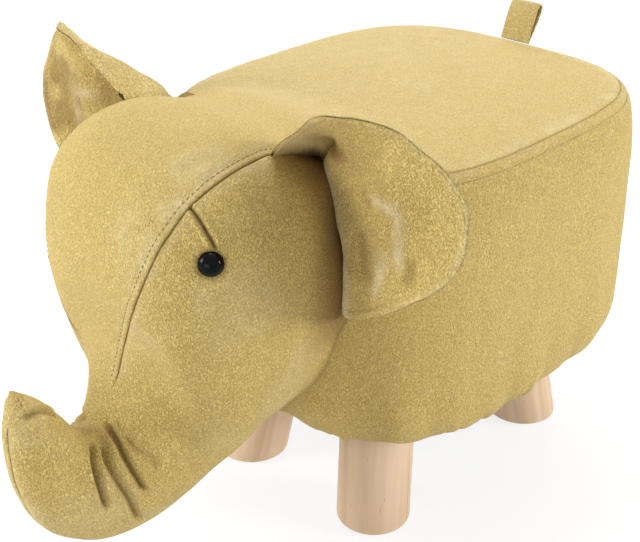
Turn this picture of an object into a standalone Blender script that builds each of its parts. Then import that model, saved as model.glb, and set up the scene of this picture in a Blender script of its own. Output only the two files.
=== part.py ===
"""Elephant footstool: a padded seat on round wooden legs, with a stuffed head, trunk, ears and tail loop.

Metres, +Z up, the animal faces -Y, its left side is +X. The origin is on the floor, under the middle
of the overall length. Every length below is a real size of the stool.
"""

from math import cos, pi, radians, sin, tan

import bmesh
import bpy
from mathutils import Matrix, Vector

# Running clearances between pieces that touch
GAP = 0.0003
SOFT_GAP = 0.0012
FIBRE_GAP = 0.0012
CUT_OVERRUN = 0.004

# Seat: plan and heights of the covered body
SEAT_LENGTH = 0.296
SEAT_WIDTH = 0.258
SEAT_CENTRE_Y = 0.088
SEAT_SQUARENESS = 3.3
UNDERSIDE_HEIGHT = 0.084
SEAM_HEIGHT = 0.268
CROWN_RISE = 0.010
NECK_RISE = 0.024
NECK_HALF_WIDTH = 0.078
SHOULDER_INSET = 0.011
SHOULDER_DROP = 0.045
HEM_INSET = 0.015
HEM_RISE = 0.028
TUCK_WIDTH = 0.019

# Cover cloth, wadding and boards
CLOTH = 0.0015
WADDING = 0.0145
DUST_CLOTH = 0.0006
DUST_INSET = 0.022
BOARD = 0.012
BAND = 0.003
FOAM_EDGE = 0.036
POST_SIDE = 0.024
POST_FROM_SIDE = 0.055
POST_FROM_END = 0.058

# Legs, their bolts and pads
LEG_DIAMETER = 0.050
LEG_SPLAY = radians(12.0)
FOOT_FROM_SIDE = 0.070
FOOT_FROM_END = 0.060
FEET_FORWARD = 0.0043
LEG_EDGE_ROUND = 0.002
PAD_DIAMETER = 0.040
PAD_THICKNESS = 0.0015
BOLT_DIAMETER = 0.008
BOLT_IN_LEG = 0.026
BOLT_ABOVE_BOARD = 0.008
NUT_FLANGE_DIAMETER = 0.022
NUT_FLANGE = 0.0015
NUT_BARREL_DIAMETER = 0.010
NUT_BARREL = 0.009

# Frame screws
SCREW_DIAMETER = 0.004
SCREW_HEAD_DIAMETER = 0.008
SCREW_HEAD = 0.0025
SCREW_LENGTH = 0.040

# Head and trunk, as one stuffed form in front of the seat
HEAD_REACH = 0.180
HEAD_ABOVE_SEAM = 0.035
HEAD_HALF_WIDTH = 0.082
SEAM_ANGLE = radians(31.0)

# Eyes
EYE_DIAMETER = 0.014
EYE_DOME = 0.0056
EYE_SHANK_DIAMETER = 0.004
EYE_SHANK = 0.010
EYE_WASHER_DIAMETER = 0.012
EYE_WASHER = 0.0012

# Ears
EAR_SPAN = 0.094
EAR_HEIGHT = 0.139
EAR_FORWARD = 0.047
EAR_PLY = 0.001
EAR_DISH = 0.004
EAR_LIFT = 0.0026
FOLD_GAP = 0.00096
EAR_TRIM = 0.010

# Tail loop
LOOP_WIDTH = 0.024
LOOP_OFFSET_X = -0.008
LOOP_RISE = 0.030
LOOP_LEAN = radians(28.0)
LOOP_CLOTH = 0.0014
LOOP_BEND = 0.0022
LOOP_FOOT_GAP = 0.0006

# Counts of facets
AROUND_SEAT = 40
AROUND_LEG = 28
AROUND_TURNED = 20
AROUND_SMALL = 12

FRONT_Y = SEAT_CENTRE_Y - SEAT_LENGTH / 2
BOARD_INSET = CLOTH + GAP + WADDING + GAP
BASE_BOTTOM = UNDERSIDE_HEIGHT + CLOTH + GAP
BASE_TOP = BASE_BOTTOM + BOARD
SEAT_TOP = SEAM_HEIGHT - FOAM_EDGE
SEAT_BOTTOM = SEAT_TOP - BOARD
HEAD_HEIGHT = SEAM_HEIGHT + HEAD_ABOVE_SEAM
POST_X = SEAT_WIDTH / 2 - POST_FROM_SIDE
POST_Y = SEAT_LENGTH / 2 - POST_FROM_END
LEG_RADIUS = LEG_DIAMETER / 2
FOOT_X = SEAT_WIDTH / 2 - FOOT_FROM_SIDE
FOOT_Y = SEAT_LENGTH / 2 - FOOT_FROM_END

SEAT_ANGLES = [2 * pi * step / AROUND_SEAT for step in range(AROUND_SEAT)]

# Where the seat's top rises to the head: shares of the seat's half length and the neck's half width
NECK_START_SHARE = 0.45
NECK_FLAT_SHARE = 0.55
NECK_FADE_SHARE = 0.75

# The wall of the cover from its seam down to the underside: shares of the shoulder's inset and drop,
# then of the hem's inset and rise. The rings of the crowned top are shares of the seat's plan.
SHOULDER_SHARES = [(1.0, 0.0), (0.66, 0.10), (0.32, 0.31), (0.08, 0.65), (0.0, 1.0)]
HEM_SHARES = [(0.0, 1.0), (0.12, 0.62), (0.42, 0.27), (1.0, 0.0)]
CROWN_RING_SHARES = [1.0, 0.94, 0.82, 0.64, 0.42, 0.2]
CROWN_POWER = 2.4

# The head's cross-sections, from the neck to the tip of the trunk. Each row holds: how far forward and
# how high the upper line is, the same for the lower line, then the half width, the squareness of the
# section and how much wider it is above its middle. Forward, height and width are shares of the
# head's reach, height and half width.
HEAD_SHARES = [
    (-0.030, 0.963, -0.070, 0.342, 0.912, 3.00, 0.10),
    (0.200, 1.000, 0.054, 0.343, 0.990, 2.90, 0.20),
    (0.431, 0.982, 0.176, 0.328, 0.972, 2.70, 0.20),
    (0.593, 0.894, 0.262, 0.295, 0.859, 2.50, 0.12),
    (0.643, 0.762, 0.328, 0.261, 0.677, 2.40, 0.08),
    (0.588, 0.656, 0.412, 0.218, 0.504, 2.20, 0.00),
    (0.581, 0.559, 0.552, 0.193, 0.411, 2.10, 0.00),
    (0.618, 0.478, 0.745, 0.210, 0.339, 2.00, 0.00),
    (0.677, 0.445, 0.909, 0.286, 0.293, 2.00, 0.00),
    (0.747, 0.463, 0.979, 0.386, 0.239, 2.00, 0.00),
    (0.809, 0.514, 0.996, 0.484, 0.193, 2.00, 0.00),
    (0.873, 0.565, 0.984, 0.557, 0.116, 2.00, 0.00),
    (0.945, 0.602, 0.960, 0.602, 0.030, 2.00, 0.00),
]
STATIONS_PER_ROW = 3
SLOPE_STEP = 0.02
TRUNK_START = 16 / 3
SKIN_END = 34 / 3
TIP_END = 35 / 3
GUSSET_TAPER_START = 3.3
GUSSET_END = 6.6
GUSSET_CLOTH_END = 19 / 3
GUSSET_WIDTH_SHARES = [1.0, 0.5, 0.0, -0.5, -1.0]
LEAST_GUSSET_ANGLE = 0.25
CHEEK_STEPS = 10

# Where the ear is sewn to the head: station along the head and angle round it
EAR_SEAM_STATIONS = [
    (1.05, 31.0),
    (0.75, 31.5),
    (0.45, 33.0),
    (0.27, 38.0),
    (0.27, 60.0),
    (0.30, 80.0),
    (0.36, 92.0),
]

# The ear's free edge, as shares of its span, forward reach and height from the low end of its seam:
# from the front corner over the peak to the top of the fold, round the flap, then from the foot of
# the fold to the low end of the seam
EAR_FRONT_EDGE_SHARES = [
    (-0.09, 0.880, 0.815),
    (-0.01, 0.900, 0.852),
    (0.074, 0.915, 0.900),
    (0.180, 0.957, 0.964),
    (0.287, 1.000, 1.000),
    (0.360, 0.900, 0.998),
    (0.425, 0.787, 0.993),
    (0.530, 0.620, 0.971),
    (0.617, 0.511, 0.942),
]
EAR_FLAP_EDGE_SHARES = [
    (0.617, 0.511, 0.942),
    (0.702, 0.447, 0.900),
    (0.790, 0.380, 0.860),
    (0.872, 0.319, 0.806),
    (0.968, 0.277, 0.719),
    (1.000, 0.319, 0.647),
    (1.000, 0.362, 0.540),
    (0.947, 0.404, 0.446),
    (0.862, 0.468, 0.374),
    (0.734, 0.511, 0.302),
    (0.553, 0.447, 0.209),
    (0.383, 0.350, 0.129),
    (0.202, 0.220, 0.058),
]
EAR_LOW_EDGE_SHARES = [
    (0.202, 0.220, 0.058),
    (0.106, 0.128, 0.022),
    (0.043, 0.060, 0.004),
]
EAR_PEAK_COLUMN = 4
EAR_FOLD_COLUMNS = 7
EAR_STEPS = 4

# The eyes' places on the cheeks, station and angle; the right one is sewn a little lower and further back
EYE_PLACES = {"left": (2.65, 53.0), "right": (2.52, 59.5)}
EYE_DOME_STEPS = 5

# Half of the tail loop's strap, from its sewn end to its bend: shares of its height and of its opening
LOOP_LEG_SHARES = [(0.0, 0.0), (0.33, 0.7), (0.66, 1.0), (1.0, 1.0)]
LOOP_WIDTH_SHARES = [-0.5, 0.0, 0.5]
LOOP_BEND_STEPS = 6


def clear_scene():
    for old in list(bpy.data.objects):
        bpy.data.objects.remove(old, do_unlink=True)


clear_scene()
parts = bpy.data.collections.new("elephant_footstool")
cutters = bpy.data.collections.new("cutters")
bpy.context.scene.collection.children.link(parts)
bpy.context.scene.collection.children.link(cutters)


def material(name, colour, roughness, metallic=0.0):
    made = bpy.data.materials.new(name)
    made.use_nodes = True
    shader = made.node_tree.nodes["Principled BSDF"]
    shader.inputs["Base Color"].default_value = (*colour, 1.0)
    shader.inputs["Roughness"].default_value = roughness
    shader.inputs["Metallic"].default_value = metallic
    return made


COVER_CLOTH = ("mustard_suede_cloth", (0.60, 0.43, 0.17), 0.85)
PALE_FIBRE = ("white_polyester_fibre", (0.86, 0.85, 0.82), 0.95)
CREAM_FOAM = ("cream_foam", (0.84, 0.78, 0.60), 0.90)
PLYWOOD = ("plywood", (0.60, 0.43, 0.25), 0.70)
HARDBOARD = ("brown_hardboard", (0.30, 0.18, 0.09), 0.75)
PINE = ("pale_pine", (0.72, 0.52, 0.33), 0.55)
ZINC_STEEL = ("zinc_plated_steel", (0.62, 0.62, 0.60), 0.35, 1.0)
BLACK_PLASTIC = ("gloss_black_plastic", (0.008, 0.008, 0.010), 0.08)
WHITE_PLASTIC = ("white_plastic", (0.80, 0.80, 0.78), 0.45)
GREY_FELT = ("grey_felt", (0.20, 0.20, 0.20), 0.95)
BLACK_NONWOVEN = ("black_nonwoven", (0.02, 0.02, 0.02), 0.90)


def add_object(name, mesh, finish):
    made = bpy.data.objects.new(name, mesh)
    parts.objects.link(made)
    mesh.materials.append(material(name + "_" + finish[0], *finish[1:]))
    return made


def add_cutter(name, mesh):
    made = bpy.data.objects.new(name, mesh)
    cutters.objects.link(made)
    made.hide_render = True
    made.display_type = "WIRE"
    return made


def cut(piece, cutter):
    step = piece.modifiers.new("cut " + cutter.name, "BOOLEAN")
    step.operation = "DIFFERENCE"
    step.solver = "EXACT"
    step.object = cutter


def thicken(piece, thickness, offset=-1.0):
    step = piece.modifiers.new("thickness", "SOLIDIFY")
    step.thickness = thickness
    step.offset = offset
    step.use_even_offset = True


def smooth(mesh, angle=radians(40.0)):
    mesh.shade_smooth()
    mesh.set_sharp_from_angle(angle=angle)


def loft_mesh(name, rows, close_rows=True, close_ends=False, cap_first=False, cap_last=False):
    """A skin of quads through rows of points that all have the same count."""
    work = bmesh.new()
    grid = [[work.verts.new(point) for point in row] for row in rows]
    count = len(rows[0])
    last_step = count if close_rows else count - 1
    pairs = list(zip(grid[:-1], grid[1:]))
    if close_ends:
        pairs.append((grid[-1], grid[0]))
    for lower, upper in pairs:
        for step in range(last_step):
            after = (step + 1) % count
            work.faces.new((lower[step], lower[after], upper[after], upper[step]))
    if cap_first:
        work.faces.new(list(reversed(grid[0])))
    if cap_last:
        work.faces.new(grid[-1])
    mesh = bpy.data.meshes.new(name)
    work.to_mesh(mesh)
    work.free()
    smooth(mesh)
    return mesh


def shell_mesh(name, outer, inner):
    """A cloth panel between two like grids of points, closed by a narrow edge all round."""
    work = bmesh.new()
    face = [[work.verts.new(point) for point in row] for row in outer]
    back = [[work.verts.new(point) for point in row] for row in inner]
    for lower, upper, lower_back, upper_back in zip(face[:-1], face[1:], back[:-1], back[1:]):
        for step in range(len(lower) - 1):
            work.faces.new((lower[step], lower[step + 1], upper[step + 1], upper[step]))
            work.faces.new((upper_back[step], upper_back[step + 1], lower_back[step + 1], lower_back[step]))
        work.faces.new((lower_back[0], lower[0], upper[0], upper_back[0]))
        work.faces.new((upper_back[-1], upper[-1], lower[-1], lower_back[-1]))
    for step in range(len(face[0]) - 1):
        work.faces.new((face[0][step + 1], face[0][step], back[0][step], back[0][step + 1]))
        work.faces.new((back[-1][step + 1], back[-1][step], face[-1][step], face[-1][step + 1]))
    mesh = bpy.data.meshes.new(name)
    work.to_mesh(mesh)
    work.free()
    smooth(mesh)
    return mesh


def cylinder_mesh(name, radius, bottom, top, sides):
    work = bmesh.new()
    bmesh.ops.create_cone(
        work, cap_ends=True, segments=sides, radius1=radius, radius2=radius, depth=top - bottom
    )
    bmesh.ops.translate(work, verts=work.verts, vec=(0, 0, (top + bottom) / 2))
    mesh = bpy.data.meshes.new(name)
    work.to_mesh(mesh)
    work.free()
    smooth(mesh)
    return mesh


def turned_rows(profile, sides):
    """Rings of a solid of revolution about Z; the profile runs from the top down the outer side."""
    rows = []
    for radius, height in reversed(profile):
        ring = [radius_point(radius, 2 * pi * step / sides, height) for step in range(sides)]
        rows.append(ring)
    return rows


def radius_point(radius, angle, height):
    return (radius * cos(angle), radius * sin(angle), height)


def signed_power(value, power):
    return abs(value) ** power if value >= 0 else -(abs(value) ** power)


def smooth_step(value):
    held = min(1.0, max(0.0, value))
    return held * held * (3 - 2 * held)


# Seat body


def plan_point(angle, inset, share=1.0):
    """A point of the seat's rounded-square plan; angle 0 is the animal's left, 90 degrees its rear."""
    power = 2 / SEAT_SQUARENESS
    x = (SEAT_WIDTH / 2 - inset) * signed_power(cos(angle), power) * share
    y = (SEAT_LENGTH / 2 - inset) * signed_power(sin(angle), power) * share
    return x, SEAT_CENTRE_Y + y


def neck_share(x, y):
    """1 where the seat's cloth runs on to the top of the head, 0 away from the neck."""
    forward = (SEAT_CENTRE_Y - y) / (SEAT_LENGTH / 2)
    sideways = abs(x) / NECK_HALF_WIDTH
    rising = smooth_step((forward - NECK_START_SHARE) / (1 - NECK_START_SHARE))
    fading = smooth_step((sideways - NECK_FLAT_SHARE) / NECK_FADE_SHARE)
    return rising * (1 - fading)



def wall_rows(inward, seam_clear=0.0):
    """Rings of points down the seat's wall, moved inward by a distance."""
    rows = []
    for inset_share, drop_share in SHOULDER_SHARES:
        ring = []
        for angle in SEAT_ANGLES:
            neck = neck_share(*plan_point(angle, SHOULDER_INSET))
            inset = SHOULDER_INSET * inset_share * (1 - neck) + inward
            x, y = plan_point(angle, inset)
            top = SEAM_HEIGHT + NECK_RISE * neck * (1 - drop_share) - seam_clear
            ring.append((x, y, top - (SHOULDER_DROP - seam_clear) * drop_share))
        rows.append(ring)
    for inset_share, rise_share in HEM_SHARES:
        ring = []
        for angle in SEAT_ANGLES:
            x, y = plan_point(angle, HEM_INSET * inset_share + inward)
            ring.append((x, y, UNDERSIDE_HEIGHT + HEM_RISE * rise_share))
        rows.append(ring)
    return rows


def crown_rows(inward, lower):
    """Rings of points from the seam to the middle of the crowned top, moved inward and down."""
    rows = []
    for share in CROWN_RING_SHARES:
        ring = []
        for angle in SEAT_ANGLES:
            neck_edge = neck_share(*plan_point(angle, SHOULDER_INSET))
            x, y = plan_point(angle, SHOULDER_INSET * (1 - neck_edge) + inward, share)
            crown = CROWN_RISE * (1 - share ** CROWN_POWER) + NECK_RISE * neck_share(x, y)
            ring.append((x, y, SEAM_HEIGHT + crown - lower))
        rows.append(ring)
    return rows


def seat_form_cutter():
    """The covered seat as one solid, grown by the gap: the head is cut by it."""
    rows = list(reversed(wall_rows(-GAP)))
    rows += crown_rows(CLOTH + SOFT_GAP, -GAP)
    return add_cutter("seat_form", loft_mesh("seat_form", rows, cap_first=True, cap_last=True))


def build_cover_side():
    rows = list(reversed(wall_rows(0)))
    tuck = [(*plan_point(angle, HEM_INSET + TUCK_WIDTH), UNDERSIDE_HEIGHT) for angle in SEAT_ANGLES]
    piece = add_object("cover_side", loft_mesh("cover_side", [tuck] + rows), COVER_CLOTH)
    thicken(piece, CLOTH)


def build_cover_top():
    rows = crown_rows(CLOTH + SOFT_GAP, 0)
    piece = add_object("cover_top", loft_mesh("cover_top", rows, cap_last=True), COVER_CLOTH)
    thicken(piece, CLOTH)


def build_seat_foam():
    inward = CLOTH + SOFT_GAP
    board_ring = [(*plan_point(angle, inward), SEAT_TOP + GAP) for angle in SEAT_ANGLES]
    wall = wall_rows(inward, seam_clear=CLOTH + SOFT_GAP)[:3]
    crown = crown_rows(inward + SOFT_GAP, CLOTH + SOFT_GAP)[1:]
    rows = [board_ring] + list(reversed(wall)) + crown
    add_object("seat_foam", loft_mesh("seat_foam", rows, cap_first=True, cap_last=True), CREAM_FOAM)


def build_wadding():
    """A ring of fibre round the inner frame, from the hem up to the foam."""
    hem = wall_rows(CLOTH + SOFT_GAP)[len(SHOULDER_SHARES):-1]
    inward = CLOTH + GAP + WADDING
    top = SEAT_TOP - GAP
    rows = [
        [(*plan_point(angle, inward), hem[-1][0][2]) for angle in SEAT_ANGLES],
        *reversed(hem),
        [(*plan_point(angle, CLOTH + SOFT_GAP), top) for angle in SEAT_ANGLES],
        [(*plan_point(angle, inward), top) for angle in SEAT_ANGLES],
    ]
    add_object("side_wadding", loft_mesh("side_wadding", rows, close_ends=True), PALE_FIBRE)


def plate_mesh(name, inset, bottom, top):
    rows = [[(*plan_point(angle, inset), height) for angle in SEAT_ANGLES] for height in (bottom, top)]
    return loft_mesh(name, rows, cap_first=True, cap_last=True)


def build_side_band():
    rows = [
        [(*plan_point(angle, BOARD_INSET), height) for angle in SEAT_ANGLES]
        for height in (BASE_TOP + GAP, SEAT_BOTTOM - GAP)
    ]
    piece = add_object("side_band", loft_mesh("side_band", rows), HARDBOARD)
    thicken(piece, BAND)


CORNERS = [
    ("front_left", 1, -1),
    ("front_right", -1, -1),
    ("rear_left", 1, 1),
    ("rear_right", -1, 1),
]


def leg_axis(side, end):
    """The foot's centre on the floor and the direction of the leg's axis, from foot to seat."""
    outward = Vector((side * FOOT_X, end * FOOT_Y, 0)).normalized()
    direction = Vector((0, 0, 1)) - outward * tan(LEG_SPLAY)
    return Vector((side * FOOT_X, SEAT_CENTRE_Y - FEET_FORWARD + end * FOOT_Y, 0)), direction.normalized()


def leg_top_centre(side, end):
    foot, direction = leg_axis(side, end)
    return foot + direction * (BASE_BOTTOM / direction.z)


def slanted_cylinder(name, radius, side, end, low, high):
    """A round bar on the leg's axis, sawn level at two heights."""
    foot, direction = leg_axis(side, end)
    reach = high / direction.z + 2 * radius
    work = bmesh.new()
    bmesh.ops.create_cone(
        work, cap_ends=True, segments=AROUND_LEG, radius1=radius, radius2=radius, depth=2 * reach
    )
    turn = Vector((0, 0, 1)).rotation_difference(direction).to_matrix().to_4x4()
    bmesh.ops.transform(work, matrix=Matrix.Translation(foot) @ turn, verts=work.verts)
    for height, normal in ((low, (0, 0, -1)), (high, (0, 0, 1))):
        geometry = work.verts[:] + work.edges[:] + work.faces[:]
        found = bmesh.ops.bisect_plane(
            work, geom=geometry, plane_co=(0, 0, height), plane_no=normal, clear_outer=True
        )
        rim = [item for item in found["geom_cut"] if isinstance(item, bmesh.types.BMEdge)]
        bmesh.ops.contextual_create(work, geom=rim)
    bmesh.ops.recalc_face_normals(work, faces=work.faces)
    mesh = bpy.data.meshes.new(name)
    work.to_mesh(mesh)
    work.free()
    smooth(mesh)
    return mesh


def build_boards_and_dust_cover():
    base = add_object("base_board", plate_mesh("base_board", BOARD_INSET, BASE_BOTTOM, BASE_TOP), PLYWOOD)
    seat = add_object("seat_board", plate_mesh("seat_board", BOARD_INSET, SEAT_BOTTOM, SEAT_TOP), PLYWOOD)
    dust_top = UNDERSIDE_HEIGHT - GAP
    dust = add_object(
        "dust_cover", plate_mesh("dust_cover", DUST_INSET, dust_top - DUST_CLOTH, dust_top), BLACK_NONWOVEN
    )
    for corner, side, end in CORNERS:
        top = leg_top_centre(side, end)
        low = BASE_BOTTOM - CUT_OVERRUN
        high = BASE_TOP + CUT_OVERRUN
        nut_hole = cylinder_mesh("nut_hole", NUT_BARREL_DIAMETER / 2 + GAP, low, high, AROUND_SMALL)
        hole = add_cutter("nut_hole_" + corner, nut_hole)
        hole.location = (top.x, top.y, 0)
        cut(base, hole)
        low = dust_top - CUT_OVERRUN
        high = dust_top + CUT_OVERRUN
        leg_passage = slanted_cylinder("leg_passage", LEG_RADIUS + SOFT_GAP, side, end, low, high)
        cut(dust, add_cutter("leg_passage_" + corner, leg_passage))
        for board, level, sign in ((seat, SEAT_TOP, 1), (base, BASE_BOTTOM, -1)):
            screw_hole = screw_mesh("screw_hole", GAP, CUT_OVERRUN)
            hole = add_cutter("screw_hole_" + board.name + "_" + corner, screw_hole)
            place_screw(hole, side, end, level, sign)
            cut(board, hole)


def screw_mesh(name, grow, overrun):
    """A countersunk wood screw that points down from a head level with z = 0."""
    head = SCREW_HEAD_DIAMETER / 2 + grow
    shank = SCREW_DIAMETER / 2 + grow
    profile = [(head, overrun), (head, 0), (shank, -SCREW_HEAD), (shank, -SCREW_LENGTH - grow)]
    if not overrun:
        profile = profile[1:]
    return loft_mesh(name, turned_rows(profile, AROUND_SMALL), cap_first=True, cap_last=True)


def place_screw(piece, side, end, level, sign):
    piece.location = (side * POST_X, SEAT_CENTRE_Y + end * POST_Y, level)
    if sign < 0:
        piece.rotation_euler = (pi, 0, 0)


def build_posts_and_screws():
    for corner, side, end in CORNERS:
        work = bmesh.new()
        bmesh.ops.create_cube(work, size=1.0)
        height = SEAT_BOTTOM - BASE_TOP - 2 * GAP
        bmesh.ops.scale(work, verts=work.verts, vec=(POST_SIDE, POST_SIDE, height))
        mesh = bpy.data.meshes.new("frame_post")
        work.to_mesh(mesh)
        work.free()
        post = add_object("frame_post_" + corner, mesh, PINE)
        post.location = (side * POST_X, SEAT_CENTRE_Y + end * POST_Y, (SEAT_BOTTOM + BASE_TOP) / 2)
        for board, level, sign in (("seat", SEAT_TOP, 1), ("base", BASE_BOTTOM, -1)):
            pilot = add_cutter("screw_pilot_" + board + "_" + corner, screw_mesh("screw_pilot", GAP, 0))
            place_screw(pilot, side, end, level, sign)
            cut(post, pilot)
            screw = add_object("screw_" + board + "_" + corner, screw_mesh("screw", 0, 0), ZINC_STEEL)
            place_screw(screw, side, end, level, sign)


def build_legs():
    for corner, side, end in CORNERS:
        leg_mesh = slanted_cylinder("leg", LEG_RADIUS, side, end, PAD_THICKNESS + GAP, BASE_BOTTOM - GAP)
        leg = add_object("leg_" + corner, leg_mesh, PINE)
        rounding = leg.modifiers.new("rounded edges", "BEVEL")
        rounding.width = LEG_EDGE_ROUND
        rounding.segments = 2
        rounding.limit_method = "ANGLE"
        rounding.angle_limit = radians(50.0)
        top = leg_top_centre(side, end)
        low = BASE_BOTTOM - BOLT_IN_LEG
        high = BASE_BOTTOM + CUT_OVERRUN
        bolt_bore = cylinder_mesh("bolt_bore", BOLT_DIAMETER / 2 + GAP, low - GAP, high, AROUND_SMALL)
        bore = add_cutter("bolt_bore_" + corner, bolt_bore)
        bore.location = (top.x, top.y, 0)
        cut(leg, bore)

        high = BASE_TOP + BOLT_ABOVE_BOARD
        bolt_mesh = cylinder_mesh("hanger_bolt", BOLT_DIAMETER / 2, low, high, AROUND_SMALL)
        bolt = add_object("hanger_bolt_" + corner, bolt_mesh, ZINC_STEEL)
        bolt.location = (top.x, top.y, 0)

        flange_low = BASE_TOP + GAP
        barrel = NUT_BARREL_DIAMETER / 2
        bore_radius = BOLT_DIAMETER / 2 + GAP
        profile = [
            (bore_radius, flange_low + NUT_FLANGE),
            (NUT_FLANGE_DIAMETER / 2, flange_low + NUT_FLANGE),
            (NUT_FLANGE_DIAMETER / 2, flange_low),
            (barrel, flange_low),
            (barrel, flange_low - NUT_BARREL),
            (bore_radius, flange_low - NUT_BARREL),
        ]
        rings = turned_rows(profile, AROUND_SMALL)
        nut = add_object("tee_nut_" + corner, loft_mesh("tee_nut", rings, close_ends=True), ZINC_STEEL)
        nut.location = (top.x, top.y, 0)

        foot = leg_axis(side, end)[0]
        pad_mesh = cylinder_mesh("foot_pad", PAD_DIAMETER / 2, 0, PAD_THICKNESS, AROUND_TURNED)
        pad = add_object("foot_pad_" + corner, pad_mesh, GREY_FELT)
        pad.location = (foot.x, foot.y, 0)


# Head and trunk


def blend_rows(rows, station):
    """A smooth curve through the rows of a table, at a station that counts rows."""
    last = len(rows) - 1
    low = min(last - 1, max(0, int(station)))
    part = station - low
    near = [rows[max(0, low - 1)], rows[low], rows[low + 1], rows[min(last, low + 2)]]
    values = []
    for before, start, end, after in zip(*near):
        slope_in = (end - before) / 2
        slope_out = (after - start) / 2
        values.append(
            (2 * part ** 3 - 3 * part ** 2 + 1) * start
            + (part ** 3 - 2 * part ** 2 + part) * slope_in
            + (3 * part ** 2 - 2 * part ** 3) * end
            + (part ** 3 - part ** 2) * slope_out
        )
    return values


def skin_point(station, angle):
    """A point on the head's skin: angle 0 is the upper line, 90 degrees the animal's left side."""
    row = blend_rows(HEAD_SHARES, station)
    upper = Vector((0, FRONT_Y - row[0] * HEAD_REACH, row[1] * HEAD_HEIGHT))
    lower = Vector((0, FRONT_Y - row[2] * HEAD_REACH, row[3] * HEAD_HEIGHT))
    middle = (upper + lower) / 2
    half = (upper - lower) / 2
    width = row[4] * HEAD_HALF_WIDTH
    power = 2 / row[5]
    along = signed_power(cos(angle), power)
    across = signed_power(sin(angle), power)
    return middle + half * along + Vector((width * across * (1 + row[6] * along), 0, 0))


def head_normal(station, angle):
    step = SLOPE_STEP
    along = skin_point(station + step, angle) - skin_point(station - step, angle)
    around = skin_point(station, angle + step) - skin_point(station, angle - step)
    return along.cross(around).normalized()


def head_point(station, angle, inward=0.0):
    return skin_point(station, angle) - head_normal(station, angle) * inward


def gusset_angle(station):
    """Half the angle that the forehead panel spans; it tapers to a point at the root of the trunk."""
    left = 1 - smooth_step((station - GUSSET_TAPER_START) / (GUSSET_END - GUSSET_TAPER_START))
    return SEAM_ANGLE * left


def stations(first, last):
    """Stations a third of a row apart, so that stuffing and skins are cut at the same places."""
    steps = round((last - first) * STATIONS_PER_ROW)
    return [first + (last - first) * step / steps for step in range(steps + 1)]


def cheek_angles(start):
    return [start + (pi - start) * step / CHEEK_STEPS for step in range(CHEEK_STEPS + 1)]


def head_rows(first, last, inward):
    """Closed rings of the stuffed form, with points at the same angles as the skins."""
    rows = []
    for station in stations(first, last):
        start = max(gusset_angle(station), LEAST_GUSSET_ANGLE)
        half = [0.0, start / 2] + cheek_angles(start)
        full = half + [2 * pi - angle for angle in reversed(half[1:-1])]
        rows.append([head_point(station, -angle, inward) for angle in full])
    return rows


def build_head(seat_form):
    inward = CLOTH + FIBRE_GAP
    upper_step = (head_point(TRUNK_START + 1, 0) - head_point(TRUNK_START, 0)).length
    split = 3 * GAP / upper_step
    rows = head_rows(0.0, TRUNK_START - split, inward)
    head_mesh = loft_mesh("head_stuffing", rows, cap_first=True, cap_last=True)
    head = add_object("head_stuffing", head_mesh, PALE_FIBRE)
    cut(head, seat_form)
    rows = head_rows(TRUNK_START, TIP_END, inward)
    trunk_mesh = loft_mesh("trunk_stuffing", rows, cap_first=True, cap_last=True)
    add_object("trunk_stuffing", trunk_mesh, PALE_FIBRE)

    outer = []
    inner = []
    for station in stations(0.0, GUSSET_CLOTH_END):
        reach = gusset_angle(station) - GAP / HEAD_HALF_WIDTH
        angles = [reach * share for share in GUSSET_WIDTH_SHARES]
        outer.append([head_point(station, angle) for angle in angles])
        inner.append([head_point(station, angle, CLOTH) for angle in angles])
    gusset = add_object("forehead_panel", shell_mesh("forehead_panel", outer, inner), COVER_CLOTH)
    cut(gusset, seat_form)

    cheeks = []
    for name, side in (("cheek_left", 1), ("cheek_right", -1)):
        outer = []
        inner = []
        for station in stations(0.0, SKIN_END):
            start = gusset_angle(station) + GAP / HEAD_HALF_WIDTH
            angles = cheek_angles(start)
            for rows, inward in ((outer, 0.0), (inner, CLOTH)):
                row = [head_point(station, angle, inward) for angle in angles]
                row = [(side * max(point.x, GAP / 2), point.y, point.z) for point in row]
                rows.append(list(reversed(row)) if side > 0 else row)
        cheek = add_object(name, shell_mesh(name, outer, inner), COVER_CLOTH)
        cut(cheek, seat_form)
        cheeks.append((cheek, side))
    return head, cheeks


def side_matrix(side, point, normal):
    """A frame whose Z leaves the head's skin at a point on the left side or its mirror image."""
    place = Vector((side * point.x, point.y, point.z))
    outward = Vector((side * normal.x, normal.y, normal.z))
    turn = Vector((0, 0, 1)).rotation_difference(outward).to_matrix().to_4x4()
    return Matrix.Translation(place) @ turn


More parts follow.
